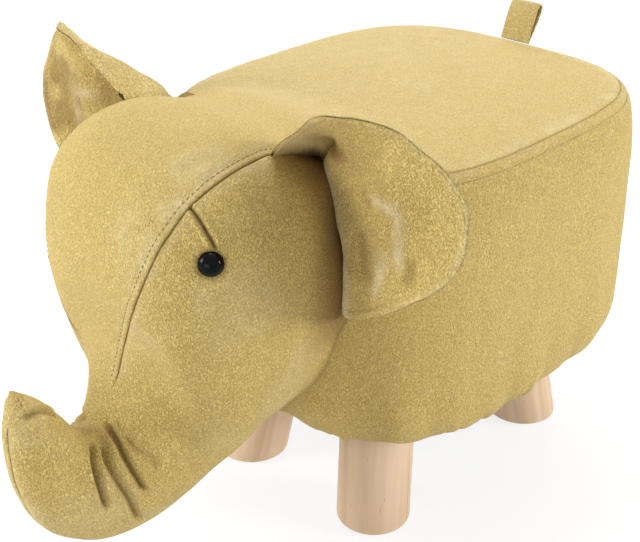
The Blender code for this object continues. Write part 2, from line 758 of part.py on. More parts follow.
def build_eyes(head, cheeks):
    radius = EYE_DIAMETER / 2
    shank = EYE_SHANK_DIAMETER / 2
    dome = [
        (radius * sin(angle), SOFT_GAP / 2 + EYE_DOME * cos(angle))
        for angle in [pi / 2 * step / EYE_DOME_STEPS for step in range(1, EYE_DOME_STEPS + 1)]
    ]
    profile = dome + [(shank, SOFT_GAP / 2), (shank, -EYE_SHANK)]
    washer_top = -CLOTH - SOFT_GAP
    washer_bore = shank + GAP
    washer_profile = [
        (washer_bore, washer_top),
        (EYE_WASHER_DIAMETER / 2, washer_top),
        (EYE_WASHER_DIAMETER / 2, washer_top - EYE_WASHER),
        (washer_bore, washer_top - EYE_WASHER),
    ]
    for (cheek, side), word in zip(cheeks, ("left", "right")):
        station, degrees = EYE_PLACES[word]
        angle = radians(degrees)
        frame = side_matrix(side, head_point(station, angle), head_normal(station, angle))
        eye_mesh = loft_mesh("eye", turned_rows(profile, AROUND_TURNED), cap_first=True, cap_last=True)
        eye = add_object("eye_" + word, eye_mesh, BLACK_PLASTIC)
        eye.matrix_world = frame
        washer_mesh = loft_mesh("eye_washer", turned_rows(washer_profile, AROUND_SMALL), close_ends=True)
        washer = add_object("eye_washer_" + word, washer_mesh, WHITE_PLASTIC)
        washer.matrix_world = frame
        hole_mesh = cylinder_mesh("eye_hole", shank + GAP, -CUT_OVERRUN, CUT_OVERRUN, AROUND_SMALL)
        hole = add_cutter("eye_hole_" + word, hole_mesh)
        hole.matrix_world = frame
        cut(cheek, hole)
        pocket_radius = EYE_WASHER_DIAMETER / 2 + GAP
        pocket_mesh = cylinder_mesh("eye_pocket", pocket_radius, -EYE_SHANK - GAP, CUT_OVERRUN, AROUND_SMALL)
        pocket = add_cutter("eye_pocket_" + word, pocket_mesh)
        pocket.matrix_world = frame
        cut(head, pocket)


# Ears


def curve_point(points, share):
    """A point at a share of the way along a smooth line through a list of points."""
    return Vector(blend_rows([tuple(point) for point in points], share * (len(points) - 1)))


def ear_lines():
    """The seam that holds the ear, its three stretches of free edge, on the left side."""
    seam = []
    for station, degrees in EAR_SEAM_STATIONS:
        angle = radians(degrees)
        seam.append(skin_point(station, angle) + head_normal(station, angle) * EAR_LIFT)
    low = seam[-1]

    def edge(table):
        size = Vector((EAR_SPAN, -EAR_FORWARD, EAR_HEIGHT))
        return [low + size * Vector(shares) for shares in table]

    return seam, edge(EAR_FRONT_EDGE_SHARES), edge(EAR_FLAP_EDGE_SHARES), edge(EAR_LOW_EDGE_SHARES)


def fold_frame():
    """The top and the foot of the line that the ear's flap swings on, and the way out across it."""
    seam, front, flap, low_edge = ear_lines()
    top, foot = front[-1], low_edge[0]
    line = (foot - top).normalized()
    middle = (top + foot) / 2
    outward = (flap[len(flap) // 2] - middle).normalized()
    inward = (seam[len(seam) // 2] - middle).normalized()
    across = outward - inward
    away = (across - line * across.dot(line)).normalized()
    return top, foot, away


def ear_patches():
    """Rows of points on the ear's middle surface: the part sewn to the head, then the free flap."""
    seam, front, flap, low_edge = ear_lines()
    top, foot, away = fold_frame()
    fold = [top.lerp(foot, step / EAR_FOLD_COLUMNS) for step in range(1, EAR_FOLD_COLUMNS)]
    outer_line = front + fold + low_edge
    last = len(outer_line) - 1
    base = []
    for column, outer in enumerate(outer_line):
        if column <= EAR_PEAK_COLUMN:
            share = column / EAR_PEAK_COLUMN / 2
        else:
            share = (1 + (column - EAR_PEAK_COLUMN) / (last - EAR_PEAK_COLUMN)) / 2
        inner = curve_point(seam, share)
        base.append([inner.lerp(outer, step / EAR_STEPS) for step in range(EAR_STEPS + 1)])

    free = []
    for column in range(1, len(flap) - 1):
        share = column / (len(flap) - 1)
        inner = top.lerp(foot, share)
        row = []
        for step in range(EAR_STEPS + 1):
            dish = EAR_DISH * sin(pi * step / EAR_STEPS) * sin(pi * share)
            row.append(inner.lerp(flap[column], step / EAR_STEPS) + Vector((0, dish, 0)))
        free.append(row)
    return base, free


def fold_cutter(name, side, toward):
    """A block on one side of the fold, its face half the fold's gap from the hinge line."""
    top, foot, away = fold_frame()
    line = (foot - top).normalized()
    work = bmesh.new()
    bmesh.ops.create_cube(work, size=1.0)
    long = (foot - top).length + 2 * EAR_TRIM
    bmesh.ops.scale(work, verts=work.verts, vec=(EAR_TRIM, long, 2 * EAR_TRIM))
    middle = (top + foot) / 2 + away * toward * (EAR_TRIM - FOLD_GAP) / 2
    turn = Matrix((away, line, away.cross(line))).transposed().to_4x4()
    bmesh.ops.transform(work, matrix=Matrix.Translation(middle) @ turn, verts=work.verts)
    bmesh.ops.scale(work, verts=work.verts, vec=(side, 1, 1))
    bmesh.ops.recalc_face_normals(work, faces=work.faces)
    mesh = bpy.data.meshes.new(name)
    work.to_mesh(mesh)
    work.free()
    return add_cutter(name, mesh)


def ply_mesh(name, rows, side, front):
    """One ply beside the ear's middle surface; both plies are cut into the same triangles."""
    mesh = loft_mesh(name, [list(reversed(row)) for row in rows], close_rows=False)
    work = bmesh.new()
    work.from_mesh(mesh)
    bmesh.ops.triangulate(work, faces=work.faces, quad_method="FIXED")
    if side < 0:
        bmesh.ops.scale(work, verts=work.verts, vec=(-1, 1, 1))
        bmesh.ops.reverse_faces(work, faces=work.faces)
    work.normal_update()
    shift = GAP / 2 if front else -GAP / 2
    moved = [(vertex, vertex.co + vertex.normal * shift) for vertex in work.verts]
    for vertex, place in moved:
        vertex.co = place
    work.to_mesh(mesh)
    work.free()
    smooth(mesh)
    return mesh


def build_ears():
    base, flap = ear_patches()
    foot = fold_frame()[1]
    for word, side in (("left", 1), ("right", -1)):
        hinge = bpy.data.objects.new("ear_" + word + "_fold_line", None)
        parts.objects.link(hinge)
        hinge.location = (side * foot.x, foot.y, foot.z)
        for part_word, rows, toward in (("base", base, 1), ("flap", flap, -1)):
            trim = fold_cutter("ear_" + word + "_" + part_word + "_trim", side, toward)
            for face_word, is_front in (("front", True), ("back", False)):
                name = "ear_" + word + "_" + part_word + "_" + face_word
                piece = add_object(name, ply_mesh(name, rows, side, is_front), COVER_CLOTH)
                thicken(piece, EAR_PLY, 1.0 if is_front else -1.0)
                cut(piece, trim)
                if part_word == "flap":
                    piece.parent = hinge
                    piece.matrix_parent_inverse = Matrix.Translation(hinge.location).inverted()


# Tail loop


def build_tail_loop():
    """A strap bent double; its two ends lie together where the seat's rear seam holds them."""
    inner_radius = LOOP_BEND / 2
    top = LOOP_RISE - inner_radius - LOOP_CLOTH
    leg = []
    for height_share, opening_share in LOOP_LEG_SHARES:
        across = GAP / 2 + (inner_radius - GAP / 2) * opening_share
        leg.append((across, LOOP_FOOT_GAP + (top - LOOP_FOOT_GAP) * height_share))
    path = list(leg)
    for step in range(1, LOOP_BEND_STEPS):
        angle = pi * step / LOOP_BEND_STEPS
        path.append((inner_radius * cos(angle), top + inner_radius * sin(angle)))
    path += [(-across, height) for across, height in reversed(leg)]
    rows = []
    for across, height in path:
        rows.append([(share * LOOP_WIDTH, across, height) for share in LOOP_WIDTH_SHARES])
    piece = add_object("tail_loop", loft_mesh("tail_loop", rows, close_rows=False), COVER_CLOTH)
    thicken(piece, LOOP_CLOTH)
    rear_y = plan_point(pi / 2, SHOULDER_INSET)[1]
    piece.location = (LOOP_OFFSET_X, rear_y, SEAM_HEIGHT + GAP)
    piece.rotation_euler = (-LOOP_LEAN, 0, 0)


seat_form = seat_form_cutter()
build_cover_side()
build_cover_top()
build_seat_foam()
build_wadding()
build_side_band()
build_boards_and_dust_cover()
build_posts_and_screws()
build_legs()
head_piece, cheek_pieces = build_head(seat_form)
build_eyes(head_piece, cheek_pieces)
build_ears()
build_tail_loop()
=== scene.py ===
import bpy
import math
import numpy as np
from mathutils import Matrix, Vector, kdtree, noise
from mathutils.bvhtree import BVHTree


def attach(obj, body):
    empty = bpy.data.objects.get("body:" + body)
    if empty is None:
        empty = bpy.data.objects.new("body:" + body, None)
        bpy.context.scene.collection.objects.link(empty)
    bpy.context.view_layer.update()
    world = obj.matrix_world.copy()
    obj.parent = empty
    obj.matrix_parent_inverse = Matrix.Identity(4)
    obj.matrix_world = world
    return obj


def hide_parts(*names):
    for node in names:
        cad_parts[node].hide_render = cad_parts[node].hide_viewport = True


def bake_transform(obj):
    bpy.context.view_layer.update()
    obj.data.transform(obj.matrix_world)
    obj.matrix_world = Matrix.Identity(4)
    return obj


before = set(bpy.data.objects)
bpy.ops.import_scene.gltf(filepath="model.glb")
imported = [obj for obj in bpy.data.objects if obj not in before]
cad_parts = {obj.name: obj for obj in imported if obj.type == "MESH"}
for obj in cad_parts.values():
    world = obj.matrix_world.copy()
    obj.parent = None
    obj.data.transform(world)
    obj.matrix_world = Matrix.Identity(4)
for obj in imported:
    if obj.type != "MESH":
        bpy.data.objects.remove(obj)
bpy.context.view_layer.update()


# Photo stand: the camera's place, a pale seamless floor and soft white light from above and all round,
# as in a shop's photo tent. The floor reads white where no shadow lies on it.

CAMERA_PLACE = Vector((0.48965, -0.51940, 0.54100))
CAMERA_RIGHT = Vector((0.73148581, 0.68185666, 0.0))
CAMERA_UP = Vector((-0.3175411, 0.34065343, 0.88494231))
CAMERA_BACK = Vector((0.60340381, -0.64732274, 0.46570067))
CAMERA_LENS = 69.39
SENSOR_WIDTH = 36.0
FLOOR_REACH = 6.0
WHITE = (1.0, 1.0, 1.0)
FLOOR_WHITE = (0.90, 0.90, 0.90)
FLOOR_SEEN = (0.26, 0.26, 0.26)
FLOOR_LIFT = 0.80
ROOM_LIGHT = 0.42
# Each light's name, place, aim, size in metres, watts and spread in degrees
SOFT_BOXES = [
    ("tent_top", (0.05, 0.15, 1.5), (0.0, 0.05, 0.2), 1.5, 2.2, 180),
    ("key_light", (-0.30, 0.25, 1.45), (0.0, 0.0, 0.25), 0.40, 8.0, 180),
    ("low_light", (0.40, -1.25, 0.12), (0.0, -0.1, 0.15), 0.8, 4.6, 180),
    ("back_light", (-0.90, 1.10, 0.90), (0.0, 0.1, 0.2), 0.9, 7.0, 180),
    ("front_light", (-0.75, -1.15, 0.75), (0.0, 0.0, 0.2), 0.6, 13.5, 180),
    ("side_light", (1.30, 0.80, 0.50), (0.12, 0.18, 0.25), 0.5, 2.0, 60),
]


def add_object(name, data):
    made = bpy.data.objects.new(name, data)
    bpy.context.scene.collection.objects.link(made)
    return made


camera_data = bpy.data.cameras.new("camera")
camera_data.sensor_fit = "HORIZONTAL"
camera_data.sensor_width = SENSOR_WIDTH
camera_data.lens = CAMERA_LENS
camera_data.clip_start = 0.02
camera_data.clip_end = 40.0
camera = add_object("camera", camera_data)
turn = Matrix((CAMERA_RIGHT, CAMERA_UP, CAMERA_BACK)).transposed().to_4x4()
camera.matrix_world = Matrix.Translation(CAMERA_PLACE) @ turn
bpy.context.scene.camera = camera
bpy.context.scene.view_settings.view_transform = "Standard"

for name, place, aim, size, power, spread in SOFT_BOXES:
    light_data = bpy.data.lights.new(name, "AREA")
    light_data.shape = "SQUARE"
    light_data.size = size
    light_data.energy = power
    light_data.spread = math.radians(spread)
    light = add_object(name, light_data)
    light.location = place
    light.rotation_mode = "QUATERNION"
    light.rotation_quaternion = (Vector(aim) - Vector(place)).to_track_quat("-Z", "Y")


def set_inputs(tree, node, inputs):
    """Each input is a fixed value or another node's output."""
    for name, value in inputs.items():
        socket = node.inputs[name]
        if isinstance(value, bpy.types.NodeSocket):
            tree.links.new(value, socket)
        else:
            socket.default_value = (*value, 1.0) if socket.type == "RGBA" else value


def add_node(tree, kind, inputs=None, out=0, **settings):
    """Adds a shader node and gives one of its outputs."""
    made = tree.nodes.new("ShaderNode" + kind)
    for name, value in settings.items():
        setattr(made, name, value)
    set_inputs(tree, made, inputs or {})
    return made.outputs[out]


def show_instead(tree, unseen, seen):
    """One shader for the light on the object, another for what the camera sees, also in reflections."""
    rays = tree.nodes.new("ShaderNodeLightPath").outputs
    glossy = add_node(tree, "Math", {0: rays["Is Camera Ray"], 1: rays["Is Glossy Ray"]}, operation="MAXIMUM")
    either = add_node(tree, "Math", {0: glossy, 1: rays["Is Transmission Ray"]}, operation="MAXIMUM")
    return add_node(tree, "MixShader", {0: either, 1: unseen, 2: seen})


def new_finish(name):
    made = bpy.data.materials.new(name)
    made.use_nodes = True
    return made, made.node_tree, made.node_tree.nodes["Principled BSDF"]


def new_mesh(name, points, faces):
    mesh = bpy.data.meshes.new(name)
    mesh.from_pydata(points, [], faces)
    mesh.update()
    return mesh


room = bpy.data.worlds.new("room")
room.use_nodes = True
bpy.context.scene.world = room
tree = room.node_tree
room_light = tree.nodes["Background"]
set_inputs(tree, room_light, {"Color": WHITE, "Strength": ROOM_LIGHT})
seen_white = add_node(tree, "Background", {"Color": WHITE, "Strength": 1.0})
both = show_instead(tree, room_light.outputs[0], seen_white)
set_inputs(tree, tree.nodes["World Output"], {"Surface": both})

floor_corners = [(x * FLOOR_REACH, y * FLOOR_REACH, 0) for x, y in ((-1, -1), (1, -1), (1, 1), (-1, 1))]
floor = add_object("floor", new_mesh("floor", floor_corners, [(0, 1, 2, 3)]))
paper, tree, sheen_free = new_finish("white_paper")
set_inputs(tree, sheen_free, {"Base Color": FLOOR_WHITE, "Roughness": 1.0, "Specular IOR Level": 0.0})
seen_paper = add_node(tree, "BsdfDiffuse", {"Color": FLOOR_SEEN})
glow = add_node(tree, "Emission", {"Color": WHITE, "Strength": FLOOR_LIFT})
lifted = add_node(tree, "AddShader", {0: seen_paper, 1: glow})
both = show_instead(tree, sheen_free.outputs[0], lifted)
set_inputs(tree, tree.nodes["Material Output"], {"Surface": both})
floor.data.materials.append(paper)


# Inner frame: two plywood boards, four pine posts and a hardboard band, screwed together, with tee nuts
# and hanger bolts for the legs. All of it is hidden by the padding, but each piece has its own finish.


def object_place(tree, scale=(1.0, 1.0, 1.0)):
    """Places on the piece in metres, stretched by a scale."""
    return add_node(tree, "Mapping", {"Vector": add_node(tree, "TexCoord", out="Object"), "Scale": scale})


def grain(tree, place, scale, detail=3.0, distortion=0.0):
    inputs = {"Vector": place, "Scale": scale, "Detail": detail, "Distortion": distortion}
    return add_node(tree, "TexNoise", inputs, out="Fac")


def ramp(tree, value, stops):
    """Colours at shares of a value."""
    made = tree.nodes.new("ShaderNodeValToRGB")
    bar = made.color_ramp
    while len(bar.elements) < len(stops):
        bar.elements.new(0.5)
    for stop, (share, colour) in zip(bar.elements, stops):
        stop.position = share
        stop.color = (*colour, 1.0)
    tree.links.new(value, made.inputs["Fac"])
    return made.outputs["Color"]


def mixed(tree, share, first, second):
    return add_node(tree, "Mix", {0: share, 6: first, 7: second}, 2, data_type="RGBA", clamp_factor=True)


def worked(tree, operation, *values):
    """A sum, product or comparison of numbers or textures."""
    return add_node(tree, "Math", dict(enumerate(values)), operation=operation)


def raised(tree, height, strength, distance):
    bump = add_node(tree, "Bump", {"Strength": strength, "Distance": distance, "Height": height})
    set_inputs(tree, tree.nodes["Principled BSDF"], {"Normal": bump})


def plain_finish(name, colours, scale, stretch=(1, 1, 1), roughness=0.6, metallic=0.0, bump=0.0002):
    """A finish with a fine grain in it: two colours, the grain's scale and a little relief."""
    made, tree, shader = new_finish(name)
    streak = grain(tree, object_place(tree, stretch), scale, 4.0, 0.4)
    colour = ramp(tree, streak, [(0.3, colours[0]), (0.7, colours[1])])
    set_inputs(tree, shader, {"Base Color": colour, "Roughness": roughness, "Metallic": metallic})
    raised(tree, streak, 0.4, bump)
    return made


def dress(finish, *names):
    """Puts a finish on CAD nodes that are kept as they are."""
    for name in names:
        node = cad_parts[name]
        node.data.materials.clear()
        node.data.materials.append(finish)


CORNERS = ["front_left", "front_right", "rear_left", "rear_right"]
plywood = plain_finish("plywood", ((0.46, 0.31, 0.17), (0.66, 0.49, 0.30)), 45.0, (1, 0.08, 6))
hardboard = plain_finish("hardboard", ((0.19, 0.11, 0.05), (0.30, 0.18, 0.09)), 400.0)
rough_pine = plain_finish("rough_pine", ((0.56, 0.38, 0.21), (0.72, 0.53, 0.33)), 160.0, (1, 1, 0.05))
zinc = plain_finish("zinc_plate", ((0.50, 0.51, 0.50), (0.66, 0.66, 0.63)), 600.0, roughness=0.32, metallic=1.0,
                    bump=0.00003)
nylon = plain_finish("white_nylon", ((0.72, 0.72, 0.70), (0.82, 0.82, 0.80)), 300.0, roughness=0.4, bump=0.00005)
dress(plywood, "base_board", "seat_board")
dress(hardboard, "side_band")
dress(nylon, "eye_washer_left", "eye_washer_right")
for corner in CORNERS:
    dress(rough_pine, "frame_post_" + corner)
    dress(zinc, "screw_seat_" + corner, "screw_base_" + corner, "hanger_bolt_" + corner, "tee_nut_" + corner)


# Dust cover: black non-woven cloth stapled under the base board, cut round the four legs. It lies flat
# under the board and is only seen when the stool is turned over.

black_cloth, tree, shader = new_finish("black_nonwoven")
fibre = grain(tree, object_place(tree), 900.0, 4.0, 0.8)
colour = ramp(tree, fibre, [(0.35, (0.012, 0.012, 0.013)), (0.75, (0.045, 0.045, 0.047))])
set_inputs(tree, shader, {"Base Color": colour, "Roughness": 0.9})
raised(tree, fibre, 0.5, 0.0003)
dress(black_cloth, "dust_cover")


# Legs: four turned pine bars of 50 mm, splayed outward, sawn level at the foot with a small rounded
# edge. Each is screwed up into the base board and stands on a disc of grey felt.

LEG_RADIUS = 0.025
LEG_SPLAY = math.radians(12.0)
LEG_AROUND = 96
LEG_TOP = 0.0852
LEG_FOOT = 0.0018
LEG_EDGE = 0.0016
LEG_PROFILE = [
    (0.30, LEG_FOOT), (0.70, LEG_FOOT), (1.0 - LEG_EDGE / LEG_RADIUS, LEG_FOOT),
    (1.0 - 0.3 * LEG_EDGE / LEG_RADIUS, LEG_FOOT + 0.3 * LEG_EDGE),
    (1.0, LEG_FOOT + LEG_EDGE), (1.0, 0.03), (1.0, 0.055), (1.0, LEG_TOP),
]
FOOT_X = 0.059
FOOT_Y = 0.088
SEAT_CENTRE_Y = 0.088
FEET_FORWARD = 0.0043


def add_piece(name, mesh, finish):
    mesh.materials.append(finish)
    mesh.shade_smooth()
    return add_object(name, mesh)


def numbered(rows, first=0):
    """A number for each point of a grid."""
    return first + np.arange(rows.shape[0] * rows.shape[1]).reshape(rows.shape[:2])


def grid_faces(index, around=False, caps=0):
    """Quads between rows of numbered points; caps is 1 to close the last row, 2 to close both ends."""
    after = np.roll(index, -1, axis=1) if around else index[:, 1:]
    before = index if around else index[:, :-1]
    faces = np.stack([before[:-1], after[:-1], after[1:], before[1:]], axis=-1).reshape(-1, 4).tolist()
    return faces + [index[-1].tolist(), index[0][::-1].tolist()][:caps]


def grid_mesh(name, rows, **ends):
    """A skin of quads through rows of points that all have the same count."""
    rows = np.asarray(rows, float)
    return new_mesh(name, rows.reshape(-1, 3).tolist(), grid_faces(numbered(rows), **ends))


def circle(count):
    turned = 2 * math.pi * np.arange(count) / count
    return np.stack([np.cos(turned), np.sin(turned), 0 * turned], axis=1)


def marked(tree, name, out="Fac"):
    """What is held at each point of a mesh under a name."""
    return add_node(tree, "Attribute", out=out, attribute_name=name)


def along_bar(tree, drawn_out):
    """Places on the turned bar as it was before it was splayed, so that the grain follows each leg."""
    return add_node(tree, "Mapping", {"Vector": marked(tree, "bar_place", "Vector"), "Scale": (1.0, 1.0, drawn_out)})


def spots(tree, scale, drawn_out, size, under, colour):
    """Small dark marks in the wood."""
    far = add_node(tree, "TexVoronoi", {"Vector": along_bar(tree, drawn_out), "Scale": scale}, out="Distance")
    return mixed(tree, worked(tree, "MULTIPLY", worked(tree, "LESS_THAN", far, size), 0.5), under, colour)


pine, tree, shader = new_finish("pale_pine")
year_rings = grain(tree, along_bar(tree, 0.045), 95.0, 3.0, 0.6)
pores = grain(tree, along_bar(tree, 0.02), 900.0, 2.0)
wood = ramp(tree, year_rings, [(0.30, (0.62, 0.425, 0.260)), (0.50, (0.72, 0.530, 0.350)),
                               (0.72, (0.77, 0.590, 0.415))])
wood = mixed(tree, worked(tree, "MULTIPLY", pores, 0.30), wood, (0.66, 0.45, 0.28))
wood = spots(tree, 210.0, 0.22, 0.085, wood, (0.45, 0.27, 0.14))
wood = spots(tree, 120.0, 0.012, 0.10, wood, (0.42, 0.25, 0.13))
set_inputs(tree, shader, {"Base Color": wood, "Roughness": 0.52})
raised(tree, worked(tree, "ADD", pores, year_rings), 0.25, 0.0002)
felt = plain_finish("grey_felt", ((0.13,) * 3, (0.26,) * 3), 700.0, roughness=0.95, bump=0.0004)

for number, (corner, side, end) in enumerate(zip(CORNERS, (1, -1, 1, -1), (-1, -1, 1, 1))):
    foot = Vector((side * FOOT_X, SEAT_CENTRE_Y - FEET_FORWARD + end * FOOT_Y, 0))
    outward = Vector((side * FOOT_X, end * FOOT_Y, 0)).normalized()
    axis = (Vector((0, 0, 1)) - outward * math.tan(LEG_SPLAY)).normalized()
    stand = Vector((0, 0, 1)).rotation_difference(axis).to_matrix()
    rows = []
    for radius, height in LEG_PROFILE:
        ring = circle(LEG_AROUND) * LEG_RADIUS * radius
        ring[:, 2] = (height - ring @ np.array(stand[2])) / axis.z
        rows.append(ring)
    mesh = grid_mesh("leg", rows, around=True, caps=2)
    bar = np.concatenate(rows) + (number * 0.31, number * 0.17, 0)
    held = mesh.attributes.new("bar_place", "FLOAT_VECTOR", "POINT")
    held.data.foreach_set("vector", bar.astype(np.float32).ravel())
    mesh.transform(Matrix.Translation(foot) @ stand.to_4x4())
    leg = add_piece("pine_leg_" + corner, mesh, pine)
    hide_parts("leg_" + corner)
    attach(leg, "stool")
    dress(felt, "foot_pad_" + corner)


# Side cloth: one band of mustard suede cloth round the seat, over fibre wadding. It is sewn to the top
# along the upper edge, topstitched 8 mm below, gathered at the hem and tucked under the base board.

SEAT_LENGTH = 0.296
SEAT_WIDTH = 0.258
SEAT_SQUARENESS = 3.3
UNDERSIDE_HEIGHT = 0.084
SEAM_HEIGHT = 0.268
CROWN_RISE = 0.010
NECK_RISE = 0.024
NECK_HALF_WIDTH = 0.078
SHOULDER_INSET = 0.011
SHOULDER_DROP = 0.045
HEM_INSET = 0.015
HEM_RISE = 0.028
TUCK_WIDTH = 0.019
SIDE_AROUND = 520
SIDE_ROWS = 150
NECK_OPENING = 0.060
NECK_COLUMNS = 64
SHOULDER_SHARES = [(1.0, 0.0), (0.66, 0.10), (0.32, 0.31), (0.08, 0.65), (0.0, 1.0)]
HEM_SHARES = [(0.0, 1.0), (0.12, 0.62), (0.42, 0.27), (1.0, 0.0)]
TOPSTITCH_DROP = 0.0084
UNDER_EAR = (0.120, -0.060, 0.180)
# The grain's darker colour is painted shade for the pebbles' valleys
CLOTH_SHADED_GRAIN = (0.47, 0.330, 0.092)
CLOTH_LIGHT = (0.82, 0.635, 0.225)
CLOTH_CLOUD = (0.66, 0.475, 0.135)
# Lighter colour for wear and for painted light
CLOTH_WEAR_AND_LIGHT = (0.88, 0.76, 0.46)
# Colour of painted shade, mixed into the cloth in seams, folds, gathers and hollows and where the ears shade it
CLOTH_PAINTED_SHADE = (0.17, 0.076, 0.004)
LINE_STEP = 0.0002
SEAM_GAP = 0.0003
GAP_GROWTH = 0.28
SEAM_GROOVE = 0.0012
SEAM_SHOULDER = 0.0005
GATHER_HEIGHT = 0.019
GATHER_WIDTH = 0.045
GATHER_DEPTH = 0.0030
STITCH_ROUND = 6
SIDES = [("left", 1), ("right", -1)]


def signed_power(value, power):
    return np.sign(value) * np.abs(value) ** power


def smooth_step(value):
    held = np.clip(value, 0.0, 1.0)
    return held * held * (3 - 2 * held)


def plan_point(angle, inset, share=1.0):
    """A point of the seat's rounded-square plan; angle 0 is the animal's left, 90 degrees its rear."""
    power = 2 / SEAT_SQUARENESS
    x = (SEAT_WIDTH / 2 - inset) * signed_power(np.cos(angle), power) * share
    y = (SEAT_LENGTH / 2 - inset) * signed_power(np.sin(angle), power) * share
    return x, SEAT_CENTRE_Y + y


def neck_share(x, y):
    """1 where the seat's cloth runs on to the top of the head, 0 away from the neck."""
    forward = (SEAT_CENTRE_Y - y) / (SEAT_LENGTH / 2)
    rising = smooth_step((forward - 0.45) / 0.55)
    fading = smooth_step((np.abs(x) / NECK_HALF_WIDTH - 0.55) / 0.75)
    return rising * (1 - fading)


def blend_rows(rows, stations=None, count=0):
    """A smooth curve through the rows of a table, at stations that count rows, or at a count of even steps."""
    rows = np.asarray(rows, float)
    stations = np.linspace(0, len(rows) - 1, count) if stations is None else np.asarray(stations, float)
    last = len(rows) - 1
    low = np.clip(np.floor(stations).astype(int), 0, last - 1)
    part = (stations - low)[..., None]
    before, start = rows[np.maximum(low - 1, 0)], rows[low]
    end, after = rows[low + 1], rows[np.minimum(low + 2, last)]
    return (
        (2 * part ** 3 - 3 * part ** 2 + 1) * start
        + (part ** 3 - 2 * part ** 2 + part) * (end - before) / 2
        + (3 * part ** 2 - 2 * part ** 3) * end
        + (part ** 3 - part ** 2) * (after - start) / 2
    )


def bell(far, width):
    """1 in the middle, falling to 0 at about twice the width."""
    return np.exp(-((far / width) ** 2))


def unit(ways):
    return ways / np.maximum(np.linalg.norm(ways, axis=-1, keepdims=True), 1e-9)


def far_from(points, place):
    return np.linalg.norm(points - np.asarray(place), axis=-1)


def left_side(points):
    """Each point, or its mirror image if it is on the right."""
    return np.column_stack([np.abs(points[:, 0]), points[:, 1:]])


def lengths_along(points):
    return np.r_[0, np.linalg.norm(np.diff(points, axis=0), axis=1).cumsum()]


def places_at(marks, lengths, points):
    """Places at distances along a line."""
    return np.stack([np.interp(marks, lengths, points[:, axis]) for axis in range(points.shape[1])], axis=-1)


def even_line(points, count):
    """Points at even distances along a line."""
    points = np.asarray(points, float)
    lengths = lengths_along(points)
    return places_at(np.linspace(0, lengths[-1], count), lengths, points)


def mesh_points(mesh, wanted="co"):
    points = np.zeros(len(mesh.vertices) * 3)
    mesh.vertices.foreach_get(wanted, points)
    return points.reshape(-1, 3)


def set_points(mesh, points):
    mesh.vertices.foreach_set("co", points.ravel())
    mesh.update()


def push(mesh, amounts):
    """Moves each point along its own normal."""
    set_points(mesh, mesh_points(mesh) + mesh_points(mesh, "normal") * amounts[:, None])


def mark(mesh, name, values):
    """A share at each point that the cloth's finish reads, such as its wear and painted light, or its painted shade.
    """
    held = mesh.attributes.new(name, "FLOAT", "POINT")
    held.data.foreach_set("value", np.clip(values, 0, 1).astype(np.float32))


def waves(points, size, seed, detail=1):
    """Soft random waves of about 1, as wide as size."""
    offset = Vector((seed * 7.31, seed * 3.77, seed * 5.13))
    return np.array([
        noise.fractal(Vector(point) / size + offset, 1.0, 2.0, detail, noise_basis="PERLIN_ORIGINAL")
        for point in points.tolist()
    ])


def line_distance(points, line):
    """How far each point is from a line, and at what share of its length it is nearest."""
    length = lengths_along(np.asarray(line, float))[-1]
    line = even_line(line, max(8, int(length / LINE_STEP)))
    tree = kdtree.KDTree(len(line))
    for step, place in enumerate(line.tolist()):
        tree.insert(place, step)
    tree.balance()
    found = np.array([tree.find(point)[1:] for point in points.tolist()], float)
    return found[:, 1], found[:, 0] / (len(line) - 1)


def spread_steps(place, gap, count):
    """Places that lie closer together where the gap is smaller."""
    run = np.r_[0, np.cumsum(1 / gap[:-1])]
    return np.interp(np.linspace(0, run[-1], count), run, place)


def seam_steps(length, count, both_ends=True, widest=0.0026, fine_from=0.0, fine_to=0.0, fine_gap=0.001):
    """Distances along a piece: close together at a seam or a line of stitches, wider away from it."""
    place = np.linspace(0, length, 3000)
    from_seam = np.minimum(place, length - place) if both_ends else place
    gap = np.minimum(SEAM_GAP + GAP_GROWTH * from_seam, widest)
    gap = np.where((place > fine_from) & (place < fine_to), np.minimum(gap, fine_gap), gap)
    return spread_steps(place, gap, count)


def seam_fall(far):
    """How far the cloth turns in beside a seam: a thin sharp groove and a soft shoulder."""
    return -SEAM_GROOVE * np.exp(-far / 0.0006) - SEAM_SHOULDER * bell(far, 0.005)


def fold_in(points, line, depth, width, lip, taper, sharp=False):
    """The depth of a fold or dart along a line, a groove between two soft lips, and the strength of its painted
    shade. Both fade at its ends."""
    far, share = line_distance(points, line)
    ends = smooth_step(np.minimum(share, 1 - share) / taper)
    groove = -depth * (np.exp(-far / (0.6 * width)) if sharp else bell(far, width))
    lips = lip * depth * bell(far - 2.1 * width, width)
    return (groove + lips) * ends, bell(far, 0.8 * width) * ends


